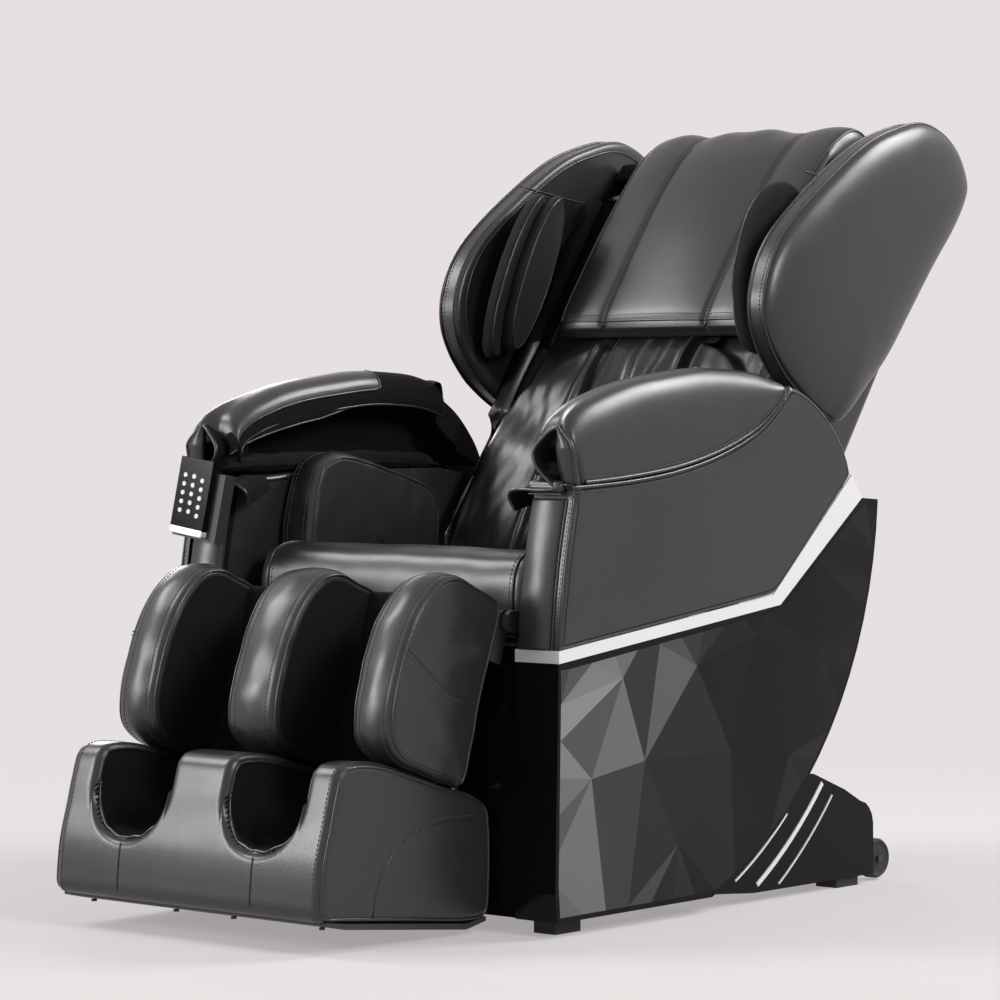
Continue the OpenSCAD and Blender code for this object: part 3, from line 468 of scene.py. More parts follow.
def fabric(name, colour=(0.0045, 0.0045, 0.005), light=(0.009, 0.009, 0.010)):
    """Black stretch knit: fine crossing ribs from two waves, matt, with a faint bloom."""
    s = Shader(name)
    warp = s.node("ShaderNodeTexWave", {"bands_direction": "DIAGONAL"},
                  {"Vector": s.place(), "Scale": 260.0, "Distortion": 1.5, "Detail": 1.0}, 1)
    weft = s.node("ShaderNodeTexWave", {"bands_direction": "Z"},
                  {"Vector": s.place(), "Scale": 330.0, "Distortion": 1.0, "Detail": 1.0}, 1)
    s.set(base_color=s.mix(warp * 0.4 + s.noise(70.0) * 0.6, colour, light), roughness=0.92,
          normal=s.bump(warp + weft, 0.0004, 0.6), specular_ior_level=0.12, sheen_weight=0.04, sheen_roughness=0.4)
    return s.material


def moulded(name, colour, light, rough, grain=900.0, depth=0.00005, coat=0.0, metallic=0.0, spread=0.05, level=0.5):
    """Moulded or painted surface: a fine even texture with slow changes of gloss and tone."""
    s = Shader(name)
    s.set(base_color=s.mix(s.noise(9.0, 4.0), colour, light), metallic=metallic,
          roughness=rough + (s.noise(30.0, 3.0) - 0.5) * spread, normal=s.bump(s.noise(grain, 2.0), depth, 0.5),
          coat_weight=coat, coat_roughness=0.04, specular_ior_level=level)
    return s.material


def brushed(name, colour, rough=0.32):
    """Drawn steel: long fine scratches along X from a stretched noise, over faint blotches."""
    s = Shader(name)
    stretched = s.node("ShaderNodeMapping", (), {"Vector": s.place(), "Scale": (40.0, 900.0, 900.0)})
    lines = s.node("ShaderNodeTexNoise", (), {"Vector": stretched, "Scale": 1.0, "Detail": 3.0})
    s.set(base_color=s.mix(s.noise(16.0), colour, tuple(c * 0.8 for c in colour)), metallic=1.0,
          roughness=rough + (lines - 0.5) * 0.2, normal=s.bump(lines, 0.00003, 0.5))
    return s.material


def plywood(name):
    """Birch board, its colours darkened by painted shade: growth lines from a stretched wave, with plies showing as
    tone.
    """
    s = Shader(name)
    rings = s.node("ShaderNodeTexWave", {"bands_direction": "Y"},
                   {"Vector": s.place(), "Scale": 14.0, "Distortion": 7.0, "Detail": 3.0}, 1)
    # painted shade: these browns are far darker than birch, for a board that sits in the seat's shadow
    s.set(base_color=s.mix(rings * 0.6 + s.noise(40.0) * 0.4, (0.06, 0.038, 0.022), (0.11, 0.075, 0.045)),
          roughness=0.62 + rings * 0.1, normal=s.bump(rings, 0.0002, 0.4))
    return s.material


def faceted(name):
    """Gloss moulding whose facets carry their own tone and a painted reflection, kept in the mesh as a face attribute.
    """
    s = Shader(name)
    facet_tone_and_reflection = s.node("ShaderNodeAttribute", {"attribute_name": "facet_tone_and_reflection"}, (), "Fac")
    grain = s.noise(900.0, 2.0)
    # painted reflection: the base colour runs from black to grey with the face attribute, so the facets near the
    # panel's front are painted lighter
    s.set(base_color=s.mix(facet_tone_and_reflection, (0.002, 0.002, 0.0024), (0.26, 0.27, 0.28)),
          roughness=0.22 + facet_tone_and_reflection * 0.10 + (s.noise(20.0) - 0.5) * 0.03, normal=s.bump(grain, 0.00003, 0.3),
          specular_ior_level=0.16)
    return s.material


hide = leather("black_hide")
hide_taut = leather("black_hide_taut", rough=0.28, grain=700.0, depth=0.00012)
knit = fabric("black_knit")
pad_knit = fabric("pad_knit", (0.014, 0.0142, 0.015), (0.024, 0.0243, 0.0255))
thread = moulded("black_thread", (0.05, 0.05, 0.052), (0.09, 0.09, 0.094), 0.55, 2200.0, 0.0002)
gloss = moulded("gloss_black", (0.004, 0.004, 0.0045), (0.006, 0.006, 0.007), 0.12, spread=0.03, level=0.12)
facets = faceted("facet_black")
matt = moulded("matt_black", (0.016, 0.016, 0.017), (0.024, 0.024, 0.026), 0.52, 1400.0, 0.00012)
silver = moulded("silver_paint", (0.74, 0.745, 0.76), (0.80, 0.805, 0.82), 0.34, 1600.0, 0.00003, 0.2, 0.25)
powder = moulded("powder_coat", (0.026, 0.026, 0.028), (0.036, 0.036, 0.038), 0.48, 520.0, 0.0003)
steel = brushed("drawn_steel", (0.56, 0.57, 0.58))
rubber = moulded("rubber", (0.014, 0.014, 0.014), (0.022, 0.022, 0.022), 0.74, 700.0, 0.0002)
board = plywood("birch_ply")
nylon = moulded("nylon", (0.44, 0.37, 0.26), (0.52, 0.45, 0.33), 0.42, 800.0, 0.0001)
key_white = moulded("key_white", (0.70, 0.71, 0.73), (0.78, 0.79, 0.81), 0.4, 1500.0, 0.00003)
switch_red = moulded("switch_red", (0.32, 0.012, 0.012), (0.42, 0.02, 0.02), 0.25, 900.0, 0.00003, 0.3)

soft_finishes = [hide, knit, hide_taut, thread]
pad_finishes = [hide, pad_knit, hide_taut, thread]
HIDE, KNIT, WELT, THREAD = range(4)
piping_r, seam_r, double_seam_r = 0.0021, 0.0011, 0.0026


def rims(shape, pad, inner=3):
    """Piping at both rims of a pad, with stitches on the band, inner rows in from each edge."""
    for row, step in ((pad.left_rim, 1), (pad.right_rim, -1)):
        shape.tube(pad.ring(row + 3 * step, 0.0006), piping_r, WELT)
        shape.stitches(pad.ring(row + (pad.edge_rows + inner) * step, 0.0003), finish=THREAD)
    return shape


# ---------------------------------------------------------------- leg rest and foot box

calf_outline = curve(mm([
    [-15, -228], [-15, -110], [-15, 8], [-36, 25], [-74, 28], [-108, 31], [-143, 17], [-170, -22], [-185, -72],
    [-189, -130], [-186, -180], [-172, -216], [-140, -234], [-90, -237], [-34, -237]]), 200)


def calf_pad(name, side, x0, x1, left, right, seam=None):
    """One upright pad of the calf rest: a leather band between two piped rims."""
    pad = Pad(calf_outline, x0, x1, 0.012, (0.003, 0.003), swell=0.004, band=46, face=34, middle=(-0.1, -0.11))
    pad.ripple(0.14, 0.0007, 5)
    shape = Shape().grid(pad.P, pad.finish(left, HIDE, right))
    if seam is not None:
        shape.tube(pad.on_face(seam, True, 0.0001), seam_r, WELT, False)
        shape.stitches(pad.on_face(seam - [0, 0.006], True, 0.0004), closed=False, finish=THREAD)
    rims(shape, pad)
    shape.build(name, soft_finishes, "leg_rest", "black_leather", ["calf_rest"], 0.8, on_leg, side)


def calf_rest():
    """Three pads with two black wells between them."""
    side = on_leg.local(spots(0.0, [-0.541, -0.497, -0.457, -0.420], [0.406, 0.369, 0.337, 0.324]))
    seam = curve(side[:, 1:], 60, False)[4:-4]
    middle, inner, outer = 0.045, 0.190, 0.262
    calf_pad("calf_pad_left", 1, inner, outer, KNIT, HIDE, seam)
    calf_pad("calf_pad_middle", 1, -middle, middle, KNIT, KNIT)
    calf_pad("calf_pad_right", -1, inner, outer, KNIT, HIDE, seam)
    back = rounded(mm([[-15, -230], [-15, 20], [-50, 22], [-54, -228]]), 0.008, 120)
    lining = Pad(back, -0.196, 0.196, 0.006, band=80, face=6)
    lining.ripple(0.05, 0.0012, 11)
    Shape().grid(lining.P, KNIT).build("calf_lining", soft_finishes, "leg_rest", "black_fabric", ["calf_rest"],
                                       0.5, on_leg)


well_x, well_r, well_low, well_end = 0.1265, 0.073, 0.128, -0.380
foot_outline = curve(mm([
    [-400, 17], [-360, 24], [-352, 62], [-352, 146], [-366, 181], [-433, 204], [-505, 227], [-574, 246],
    [-628, 250], [-651, 239], [-663, 207], [-673, 170], [-686, 124], [-692, 78], [-692, 56], [-680, 45],
    [-640, 41], [-520, 29]]), 300)


def foot_rows(half, edge, lip):
    """Places of the foot box's rows across its band, and which of them lie inside a well."""
    t = np.linspace(0, math.pi / 2, 7)
    near, far = well_x - well_r, well_x + well_r
    before = np.concatenate([np.linspace(0, near - lip, 10)[1:], (near - lip + lip * np.sin(t))[1:]])
    well = well_x + well_r * np.sin(np.linspace(-math.pi / 2, math.pi / 2, 33))
    after = np.concatenate([(far + lip * (1 - np.sin(t)))[::-1][1:], np.linspace(far + lip, half - edge, 6)[1:-1]])
    left = np.concatenate([before, well, after])
    inside = np.repeat([False, True, False], [len(before), len(well), len(after)])
    return np.concatenate([-left[::-1], [0], left]), np.concatenate([inside[::-1], [False], inside])


def foot_box():
    """Foot box: an outline carried across, with two round-bottomed wells let into its top and front.

    Inside a well the surface drops to z = low + r - sqrt(r^2 - dx^2). Outside, within lip of the well's edge, it is
    drawn in by lip (1 - sqrt(1 - t^2)), which rounds the edge.
    """
    half, edge, lip, face_rows = 0.253, 0.014, 0.012, 30
    band, inside = foot_rows(half, edge, lip)
    pad = Pad(foot_outline, -half, half, edge, (0.003, 0.003), band=band, face=face_rows, middle=(-0.52, 0.12))
    rest = np.zeros(face_rows + pad.edge_rows, bool)
    rows = np.concatenate([rest, inside, rest])

    def drawn_in(distance):
        """How far the surface is drawn in at this distance from a well's edge."""
        return lip * (1 - np.sqrt(1 - np.clip(1 - distance / lip, 0, 1) ** 2))

    P = pad.P
    x, y, z = (P[..., k] for k in range(3))
    dx = np.abs(np.abs(x) - well_x)
    centre = well_low + well_r
    apart = np.where(z > centre, dx - well_r, np.hypot(dx, z - centre) - well_r)
    apart = np.where(rows[:, None], 0.0, np.maximum(apart, 0))
    open_part = (y < well_end) & (z > 0.055)
    round_off = drawn_in(apart) * smooth(well_end, well_end - 0.01, y)
    top = centre - np.sqrt(np.maximum(well_r ** 2 - dx ** 2, 0))
    sunk = rows[:, None] & open_part & (z > top)
    round_off = np.where(rows[:, None] & (z < top), drawn_in(top - z), round_off)
    fade = np.minimum(1, 5 * pad.shrink)[:, None].clip(0.01)
    pad.push(np.where(open_part & ~sunk & (z > 0.07), -round_off, 0) / fade)
    P = pad.P
    toe = foot_outline[(foot_outline[:, 0] < -0.645) & (foot_outline[:, 1] > 0.052)][::-1]
    front = np.interp(top[:, 0], toe[:, 1], toe[:, 0])
    P[..., 1] = np.where(sunk, np.maximum(P[..., 1], (front + lip)[:, None]), P[..., 1])
    rumple = 0.0022 * uneven(P, 0.045, 21) * smooth(-0.60, -0.66, P[..., 1]) + 0.0012 * uneven(P, 0.03, 22)
    P[..., 2] = np.where(sunk, top + rumple, P[..., 2])
    pad.P = P
    shape = Shape()
    inner = sunk[:-1] & sunk[1:] & np.roll(sunk, -1, 1)[:-1] & np.roll(sunk, -1, 1)[1:]
    either = sunk[:-1] | sunk[1:]
    wall = either & np.roll(either, -1, 1) & (rows[:-1] | rows[1:])[:, None]
    shape.grid(pad.P, np.where(inner | wall, KNIT, HIDE))
    rims(shape, pad, 0)
    foot_seams(shape, pad)
    foot_welts(shape, pad, rows, sunk, toe)
    shape.build("foot_box_cover", soft_finishes, "foot_rest", "black_leather", ["foot_box"], 0.85)


def foot_seams(shape, pad):
    """Stitched seam on each side of the foot box."""
    seam = curve(mm([[-588, 44], [-584, 76], [-567, 110], [-541, 135], [-509, 149], [-457, 158], [-392, 157]]), 90,
                 False)
    for right in (True, False):
        shape.tube(pad.on_face(seam, right, 0.0001), seam_r, WELT, False)
        shape.stitches(pad.on_face(seam + [0, 0.006], right, 0.0004), closed=False, finish=THREAD)


def foot_welts(shape, pad, rows, sunk, toe):
    """Piping round the edge of each well, and a crease from there down the toe."""
    P = pad.P
    upper = np.where((foot_outline[:, 1] > well_low + well_r - 0.002) & (foot_outline[:, 0] < -0.39))[0]
    crease_z = np.linspace(0.123, 0.058, 12)
    crease_y = np.interp(crease_z, toe[:, 1], toe[:, 0]) - 0.0004
    for side in (1, -1):
        columns = np.where(rows & (np.sign(pad.x) == side))[0][::side]
        a, b = columns[0] - side, columns[-1] + side
        notch = [P[i, np.where(sunk[i])[0].max()] for i in columns]
        line = even(np.vstack([P[a, upper], notch, P[b, upper[::-1]]]), 260, False)
        shape.tube(line + [0, -0.0005, 0.0008], piping_r, WELT, False, normal=(0.2, 0.6, 0.77))
        shape.tube(spots(side * well_x, crease_y, crease_z), seam_r, WELT, False, 6)


# ---------------------------------------------------------------- seat

def seat():
    """Seat cushion: a rolled front edge, piped sides, and two steps at the rear where the hip pads stand."""
    outline = curve(mm([
        [-262, 398], [-120, 398], [60, 398], [86, 410], [92, 440], [80, 480], [0, 492], [-70, 500], [-140, 508],
        [-205, 516], [-244, 516], [-270, 506], [-283, 484], [-287, 456], [-285, 424], [-277, 404]]), 260)
    half, half_at_hips = 0.262, 0.2205
    pad = Pad(outline, -half, half, 0.022, (0.003, 0.003), swell=0.003, band=130, face=26)
    P = pad.P
    notch = smooth(-0.212, -0.206, P[..., 1]) * smooth(0.420, 0.427, P[..., 2])
    limit = half - (half - half_at_hips) * notch
    P[..., 0] = np.where(notch > 0, np.clip(P[..., 0], -limit, limit), P[..., 0])
    dish = smooth(-0.24, -0.14, P[..., 1]) * smooth(0.46, 0.48, P[..., 2]) * (1 - (P[..., 0] / half) ** 2)
    P[..., 2] -= 0.010 * dish.clip(0)
    pad.ripple(0.20, 0.0006, 31)
    shape = Shape().grid(pad.P, HIDE)
    front = np.where(outline[:, 0] < -0.215)[0]
    for x in (-0.238, 0.238):
        path = pad.ring(pad.at(x), 0.0005)[front]
        shape.tube(path, piping_r, WELT, False)
        shape.stitches(path + [math.copysign(0.007, -x), 0, 0.0004], closed=False, finish=THREAD)
    shape.build("seat_cover", soft_finishes, "base", "black_leather", ["seat_cushion"], 0.8)


def hip_pads():
    """A pad each side of the sitter's hips, piped along both edges."""
    outline = curve(mm([
        [-200, 428], [-60, 428], [66, 428], [74, 440], [76, 510], [78, 572], [66, 590], [30, 607], [-60, 632],
        [-125, 647], [-158, 645], [-182, 631], [-196, 602], [-205, 566], [-210, 520], [-210, 470], [-208, 436]]), 220)
    for side, name in ((1, "left"), (-1, "right")):
        pad = Pad(outline, 0.223, 0.285, 0.014, (0.004, 0.002), swell=0.002, band=40, face=30)
        pad.ripple(0.16, 0.0012, 41 + side)
        shape = rims(Shape().grid(pad.P, HIDE), pad, 2)
        shape.build("hip_cover_" + name, soft_finishes, "base", "black_leather", ["hip_pad_" + name], 0.75, side=side)


# ---------------------------------------------------------------- arms

arm_in, arm_out, wall_in = 0.290, 0.370, 0.354
channel_z, hood_end = 0.622, 0.166
crest_line = curve(mm([[-322, 672], [-313, 697], [-292, 713], [-252, 729], [-169, 749], [-84, 762], [4, 770],
                       [93, 767], [140, 758], [172, 747]]), 160, False)
seam_line = curve(mm([[-330, 611], [-293, 612], [-193, 618], [-91, 630], [5, 651], [86, 680], [132, 708],
                      [158, 731], [172, 746]]), 160, False)
nose_line = curve(mm([[-345, 388.6], [-340, 440], [-331, 504], [-320, 560], [-313, 590], [-314, 604], [-322, 612]]),
                  60, False)


def crest_height(y):
    """Height of the hood's top along the arm."""
    return np.interp(y, crest_line[:, 0], crest_line[:, 1])


def seam_height(y):
    """Height of the seam between arm and hood."""
    return np.interp(y, seam_line[:, 0], seam_line[:, 1])


def front_lean(y):
    """Share of the hood's lean: 1 at its front end, falling to 0."""
    return np.interp(y, [-0.33, -0.20], [1, 0])


def arm_cover(side, name):
    """Arm side: its outline carried across and cut down to the channel's floor inside the outer wall."""
    foot = curve(mm([[-345, 387], [-220, 402.5], [-100, 417.5], [40, 434.5], [118, 444], [142, 450.5], [166, 470.5],
                     [230, 529], [290, 583], [322, 612]]), 120, False)
    tail = curve(mm([[326, 617], [316, 642], [299, 668], [262, 706], [214, 735], [176, 747]]), 60, False)
    top = seam_line[::-1][4:-6]
    outline = even(np.vstack([foot, tail, top, nose_line[::-1]]), 420)
    band = np.concatenate([np.linspace(0.300, 0.3535, 12), [wall_in, wall_in + 0.0002], np.linspace(0.3555, 0.3605, 4)])
    pad = Pad(outline, arm_in, arm_out, 0.008, band=band, face=36, middle=(0.08, 0.555))
    P = pad.P
    inner = P[..., 0] < wall_in + 0.0001
    floor = channel_z - 0.16 * np.maximum(P[..., 1] - 0.15, 0)
    low = inner & (P[..., 2] > floor)
    P[..., 2] = np.where(low, floor, P[..., 2])
    nose = np.interp(P[..., 2], nose_line[:50, 1], nose_line[:50, 0])
    P[..., 1] = np.where(inner & (P[..., 2] < 0.623), np.maximum(P[..., 1], nose + 0.010), P[..., 1])
    bulge = 0.0035 * bell(P[..., 1] - 0.02, 0.22) * bell(P[..., 2] - 0.55, 0.09)
    P[..., 0] += np.where(pad.x[:, None] > wall_in + 0.0001, 0.0006 * uneven(P, 0.24, 51) + bulge, 0)
    pad.P = P
    shape = Shape()
    lining = (np.abs(np.diff(pad.x)) < 0.0004)[:, None] & (pad.shrink[1:, None] == 1)
    shape.grid(pad.P, np.where(lining | (low[:-1] & low[1:]), KNIT, HIDE))
    # piping down the front corner, with a stitched line beside it on the front face
    shape.tube(spots(arm_out - 0.003, nose_line[:56, 0] + 0.001, nose_line[:56, 1]), piping_r, WELT, False)
    front = spots(wall_in + 0.001, nose_line[:54, 0] - 0.0008, nose_line[:54, 1])
    shape.tube(front, 0.0016, WELT, False)
    shape.stitches(front + [0.006, 0.0006, 0], (0, 1, 0), False, finish=THREAD)
    # the arm's side of the double seam
    along = np.linspace(-0.318, 0.160, 150)
    rise = spots(arm_out + 0.0008, along, seam_height(along) - 0.0035)
    shape.tube(rise, double_seam_r, WELT, False)
    shape.stitches(rise + [0.0009, 0, -0.0068], closed=False, finish=THREAD)
    shape.build("arm_side_" + name, soft_finishes, "base", "black_leather", ["arm_cover_" + name], 0.6, side=side)


def hood(side, name):
    """Padded hood over the channel, carried along the arm: a side that rises as a superellipse from the seam to the
    crest, a smaller quarter inside the crest, and a hanging lip.

    Its front end leans back towards the channel, where the lining's mouth takes over. Leather covers the wall and
    the dome down to a piped line on the inside, and stops short of the rear there; knit covers the rest.
    """
    y = eased(-0.322, hood_end, 64, 0.010)
    across = y[:, None]
    t = crest_height(across) + 0.001
    s = seam_height(across) + 0.0006
    f = np.linspace(0, math.pi / 2, 33)[None, :-1]
    a = np.linspace(math.pi / 2, math.pi, 18)[None, :-1]
    c, n = np.sign(np.cos(a)) * np.abs(np.cos(a)) ** 0.78, np.sin(a) ** 0.80
    g = np.linspace(0, 1, 6)[None]
    wall = spots(0.330 + (0.0402 + 0.005 * np.sin(2 * f)) * np.cos(f) ** 0.6, across,
                 s + (t + 0.0015 - s) * np.sin(f))
    dome = spots(0.330 + 0.0405 * c, across, t - 0.038 + 0.0395 * n)
    lip = spots(0.2895 + 0.0035 * g ** 2, across, t - 0.039 - 0.011 * g)
    outer = np.concatenate([wall, dome, lip], 1)
    outer[..., 2] = np.where(outer[..., 0] > 0.318, np.maximum(outer[..., 2], s), outer[..., 2])
    inner_wall = spots(0.329 + 0.0255 * np.cos(f) ** 0.5, across, s + np.maximum(t - 0.0195 - s, 0) * np.sin(f))
    inner_dome = spots(0.3290 + 0.0255 * c, across, t - 0.044 + 0.0245 * n)
    inner_lip = spots(0.3035 - 0.004 * g ** 2, across, t - 0.045 - 0.006 * g)
    inner = np.concatenate([inner_wall, inner_dome, inner_lip], 1)
    inner[..., 2] = np.where(inner[..., 0] > 0.318, np.maximum(inner[..., 2], s), inner[..., 2])
    P = slab(outer, inner)
    lean = front_lean(P[..., 1])
    lean_at_seam, lean_inside = 0.026, 0.022
    P[..., 1] += (lean_at_seam * lean * np.clip((0.672 - P[..., 2]) / 0.06, 0, 1)
                  + lean_inside * lean * smooth(0.352, 0.325, P[..., 0]))
    P[..., 0] += 0.0004 * uneven(P, 0.18, 61)
    P[..., 2] += 0.0006 * uneven(P, 0.20, 62) * smooth(0, 0.03, P[..., 2] - s)
    half = outer.shape[1]
    edge = int(np.argmin(np.abs(outer[20, :, 2] - t[20] + 0.027) + 9 * (outer[20, :, 0] > 0.32)))
    rear = int(np.argmin(np.abs(y - 0.012)))
    column, row = np.arange(P.shape[1])[None], np.arange(len(P) - 1)[:, None]
    crown = wall.shape[1]
    leather_on = (column < edge) & ((column < crown) | (row < rear))
    shape = Shape().grid(P, np.where(leather_on, HIDE, KNIT))
    along = np.linspace(-0.318, 0.160, 150)
    rise = spots(arm_out + 0.0012, along + lean_at_seam * front_lean(along), seam_height(along) + 0.0036)
    shape.tube(rise, double_seam_r, WELT, False)
    shape.stitches(rise + [0.0014, 0, 0.0068], closed=False, finish=THREAD)
    line = np.vstack([P[4:rear - 1, edge], P[rear, edge - 1:crown:-1]])
    shape.tube(even(line, 220, False), 0.0020, WELT, False)
    shape.stitches(P[6:rear - 2, edge - 2] + [-0.0003, 0, 0.0003], closed=False, finish=THREAD)
    shape.tube(P[5:-5, half - 1], 0.0018, WELT, False)
    hood_gusset(shape)
    shape.build("arm_hood_cover_" + name, soft_finishes, "base", "black_leather", ["arm_hood_" + name], 0.8, side=side)


def hood_gusset(shape):
    """Gusset that closes the hood's front end beside the channel, piped down its outer corner."""
    z = eased(0.600, 0.6925, 34, 0.004)
    u = np.linspace(0, 1, 12)[None]
    right = 0.3700 - 0.027 * smooth(0.655, 0.694, z) ** 1.4
    left = np.interp(z, [0.60, 0.64, 0.694], [0.345, 0.340, 0.339])
    face_y = np.interp(z, [0.600, 0.615, 0.66, 0.694], [-0.306, -0.311, -0.3195, -0.3155])
    front = spots(left[:, None] + (right - left)[:, None] * u, face_y[:, None] - 0.004 * np.sin(math.pi * u),
                  z[:, None])
    shape.grid(slab(front, front + [0, 0.008, 0]), HIDE)
    corner = spots(right + 0.0006, face_y - 0.0003, z)
    shape.tube(corner, 0.0024, WELT, False, normal=(0, 1, 0))
    shape.stitches(corner + [-0.006, -0.0034, 0], (0, 1, 0), False, finish=THREAD)


def arm_roll(side, name):
    """Front roll of the arm, with a short stuffed cap across its top."""
    x = eased(0.2905, 0.3530, 26, 0.006)
    y, z = nose_line[:54].T
    bulge = 0.006 * (1 - ((x - 0.3217) / 0.0312) ** 2)
    P = slab(spots(x[:, None], y - bulge[:, None], z), spots(x[:, None], y + 0.0165, z))
    P[..., 1] += 0.0006 * uneven(P, 0.08, 71)
    shape = Shape().grid(P, HIDE)
    ends = np.linspace(0, 1, 30)
    cap = spots(0.2915 + 0.062 * ends, -0.3165, 0.6075)
    shape.tube(cap, 0.0095 * np.sqrt(np.clip(1 - (2 * ends - 1) ** 8, 0.02, 1)), HIDE, False, 20, (0, 0, 1))
    under = spots(0.293 + 0.059 * ends, -0.3215, 0.5985)
    shape.tube(under, 0.0012, WELT, False, 6, (0, 0, 1))
    shape.build("arm_roll_" + name, soft_finishes, "base", "black_leather", ["arm_fronts"], 0.8, side=side)


def arm_lining(side, name):
    """Black knit inside the channel: floor cell, a band inside the hood's lip, the rear gaiter and the mouth."""
    shape = Shape()
    for part in (lining_cell, lining_band, lining_gaiter, lining_mouth):
        part(shape)
    shape.build("arm_lining_" + name, soft_finishes, "base", "black_fabric", ["arm_linings"], 0.5, side=side)


def lining_cell(shape):
    """Air cell on the channel's floor."""
    outline = curve(mm([[-300, 623], [-80, 623], [140, 623], [149, 630], [132, 641], [20, 645], [-110, 645],
                        [-290, 639], [-308, 631]]), 140)
    cell = Pad(outline, 0.293, 0.351, 0.010, (0.002, 0.0), swell=0.004, band=24, face=10)
    cell.ripple(0.04, 0.0010, 81)
    shape.grid(cell.P, KNIT)


def lining_band(shape):
    """Band that hangs inside the hood's lip, hemmed along its foot."""
    y = eased(-0.306, 0.150, 60, 0.004)
    drop = np.interp(y, [-0.306, -0.268, -0.116, -0.037, 0.10, 0.15], [0.058, 0.060, 0.059, 0.049, 0.040, 0.030])
    v = np.linspace(0, 1, 14)[None]
    top = (crest_height(y) - 0.030)[:, None]
    low = (crest_height(y) - drop)[:, None]
    outer = spots(0.2990 - 0.006 * np.sin(math.pi * v) - 0.004 * v, y[:, None], top + (low - top) * v)
    band = slab(outer, outer + [0.006, 0, 0])
    band[..., 0] += 0.0009 * uneven(band, 0.05, 82)
    shape.grid(band, KNIT)
    shape.tube(band[3:-3, v.size - 1], 0.0018, WELT, False)


def lining_gaiter(shape):
    """Slack gaiter across the channel's rear end, between the band and the outer wall."""
    edge = curve(mm([[118, 744], [151, 757], [160, 733], [146, 711], [150, 689], [176, 665], [200, 642], [238, 624]]),
                 40, False)
    w = np.linspace(0, 1, 24)[None]
    sheet = spots(0.292 + 0.062 * w, edge[:, 0:1] + 0.012 * np.sin(math.pi * w), edge[:, 1:2])
    sheet[..., 1] += 0.0035 * uneven(sheet * [0.4, 1, 1], 0.05, 83) * (0.4 + 0.6 * (1 - w))
    sheet[..., 2] += 0.0030 * uneven(sheet * [0.4, 1, 1], 0.045, 84) * (0.4 + 0.6 * (1 - w))
    shape.grid(slab(sheet, sheet + [0, 0.0035, -0.001]), KNIT)


def lining_mouth(shape):
    """Mouth of the lining: a loose piped edge that turns over the arm's inner corner."""
    mouth = curve([[0.343, -0.316, 0.690], [0.326, -0.321, 0.681], [0.305, -0.325, 0.657], [0.311, -0.326, 0.636],
                   [0.333, -0.325, 0.615], [0.343, -0.323, 0.606], [0.320, -0.326, 0.6035], [0.285, -0.327, 0.6045],
                   [0.262, -0.322, 0.601], [0.253, -0.314, 0.590], [0.258, -0.308, 0.574]], 120, False)
    back = np.linspace(0, 1, 12)[:, None, None]
    centre = np.array([0.318, -0.25, 0.645])
    sheet = mouth + back ** 1.2 * (centre - mouth) * [0.16, 1.0, 0.16]
    sheet = sheet + back * np.array([0.006, 0, 0.004])
    sheet[..., 2] += 0.0012 * uneven(sheet, 0.03, 85)
    shape.grid(slab(sheet, sheet + [0.0016, 0, 0.0016], (False, False)), KNIT)
    shape.tube(mouth, 0.0024, WELT, False, normal=(0, 1, 0))


# ---------------------------------------------------------------- back

def back_pad():
    """Back pad: two side bolsters with round shoulders, and between them a slack panel with upright folds.

    The band is drawn in by 16 mm at each bell-shaped groove beside the panel. Above a bolster's shoulder line,
    z = top - drop ((|x| - start) / width)^2, it falls back by 20 mm over a smooth step.
    """
    outline = rounded(mm([[-26, -10], [-26, 688], [-58, 690], [-57, 390], [-64, 372], [-65, 260], [-67, 160],
                          [-60, 40], [-50, -8]]), [0.006, 0.01, 0.01, 0.02, 0.02, 0.03, 0.03, 0.03, 0.01], 300)
    groove = 0.088
    pad = Pad(outline, -0.250, 0.250, 0.030, (0.002, 0.002), grooves=(-groove, groove), depth=0.016, width=0.008,
              band=190, face=8)
    across, z = np.abs(pad.P[..., 0]), pad.P[..., 2]
    front = smooth(-0.045, -0.055, pad.P[..., 1])
    bolster = smooth(groove, groove + 0.012, across)
    shoulder = 0.372 - 0.125 * (np.clip(across - groove, 0, 1) / 0.15) ** 2
    fold = uneven(pad.P * [1, 0, 0.12], 0.045, 93)
    pad.push(front * (-0.020 * bolster * smooth(0, 0.022, z - shoulder)
                      + (1 - bolster) * (-0.007 + 0.0030 * fold * smooth(0.05, 0.30, z))
                      + 0.0016 * uneven(pad.P, 0.11, 91) + 0.0006 * uneven(pad.P * [1, 1, 0.5], 0.035, 92)))
    hidden = (np.abs(pad.P[1:, :, 0]) > 0.226) & (pad.P[1:, :, 2] > 0.385)
    shape = Shape().grid(pad.P, np.where(hidden, KNIT, HIDE))
    for side in (-1, 1):
        path = pad.ring(pad.at(side * (groove + 0.014)), 0.0002)
        path = path[(path[:, 2] < 0.36) & (path[:, 1] < -0.05)]
        shape.stitches(path[np.argsort(path[:, 2])], closed=False, finish=THREAD)
    shape.build("back_cover", soft_finishes, "backrest", "black_leather", ["back_pad"], 0.7, on_back)


wing_line = curve(mm([
    [-80, 763], [-133, 690], [-181, 584], [-216, 482], [-224, 416], [-212, 361], [-186, 324], [-149, 302],
    [-109, 291], [-80, 288], [-33, 290], [14, 298], [49, 311], [73, 389], [90, 455], [99, 536], [109, 640],
    [121, 727], [121, 786], [107, 812], [67, 830], [19, 829], [-34, 808]]), 320)


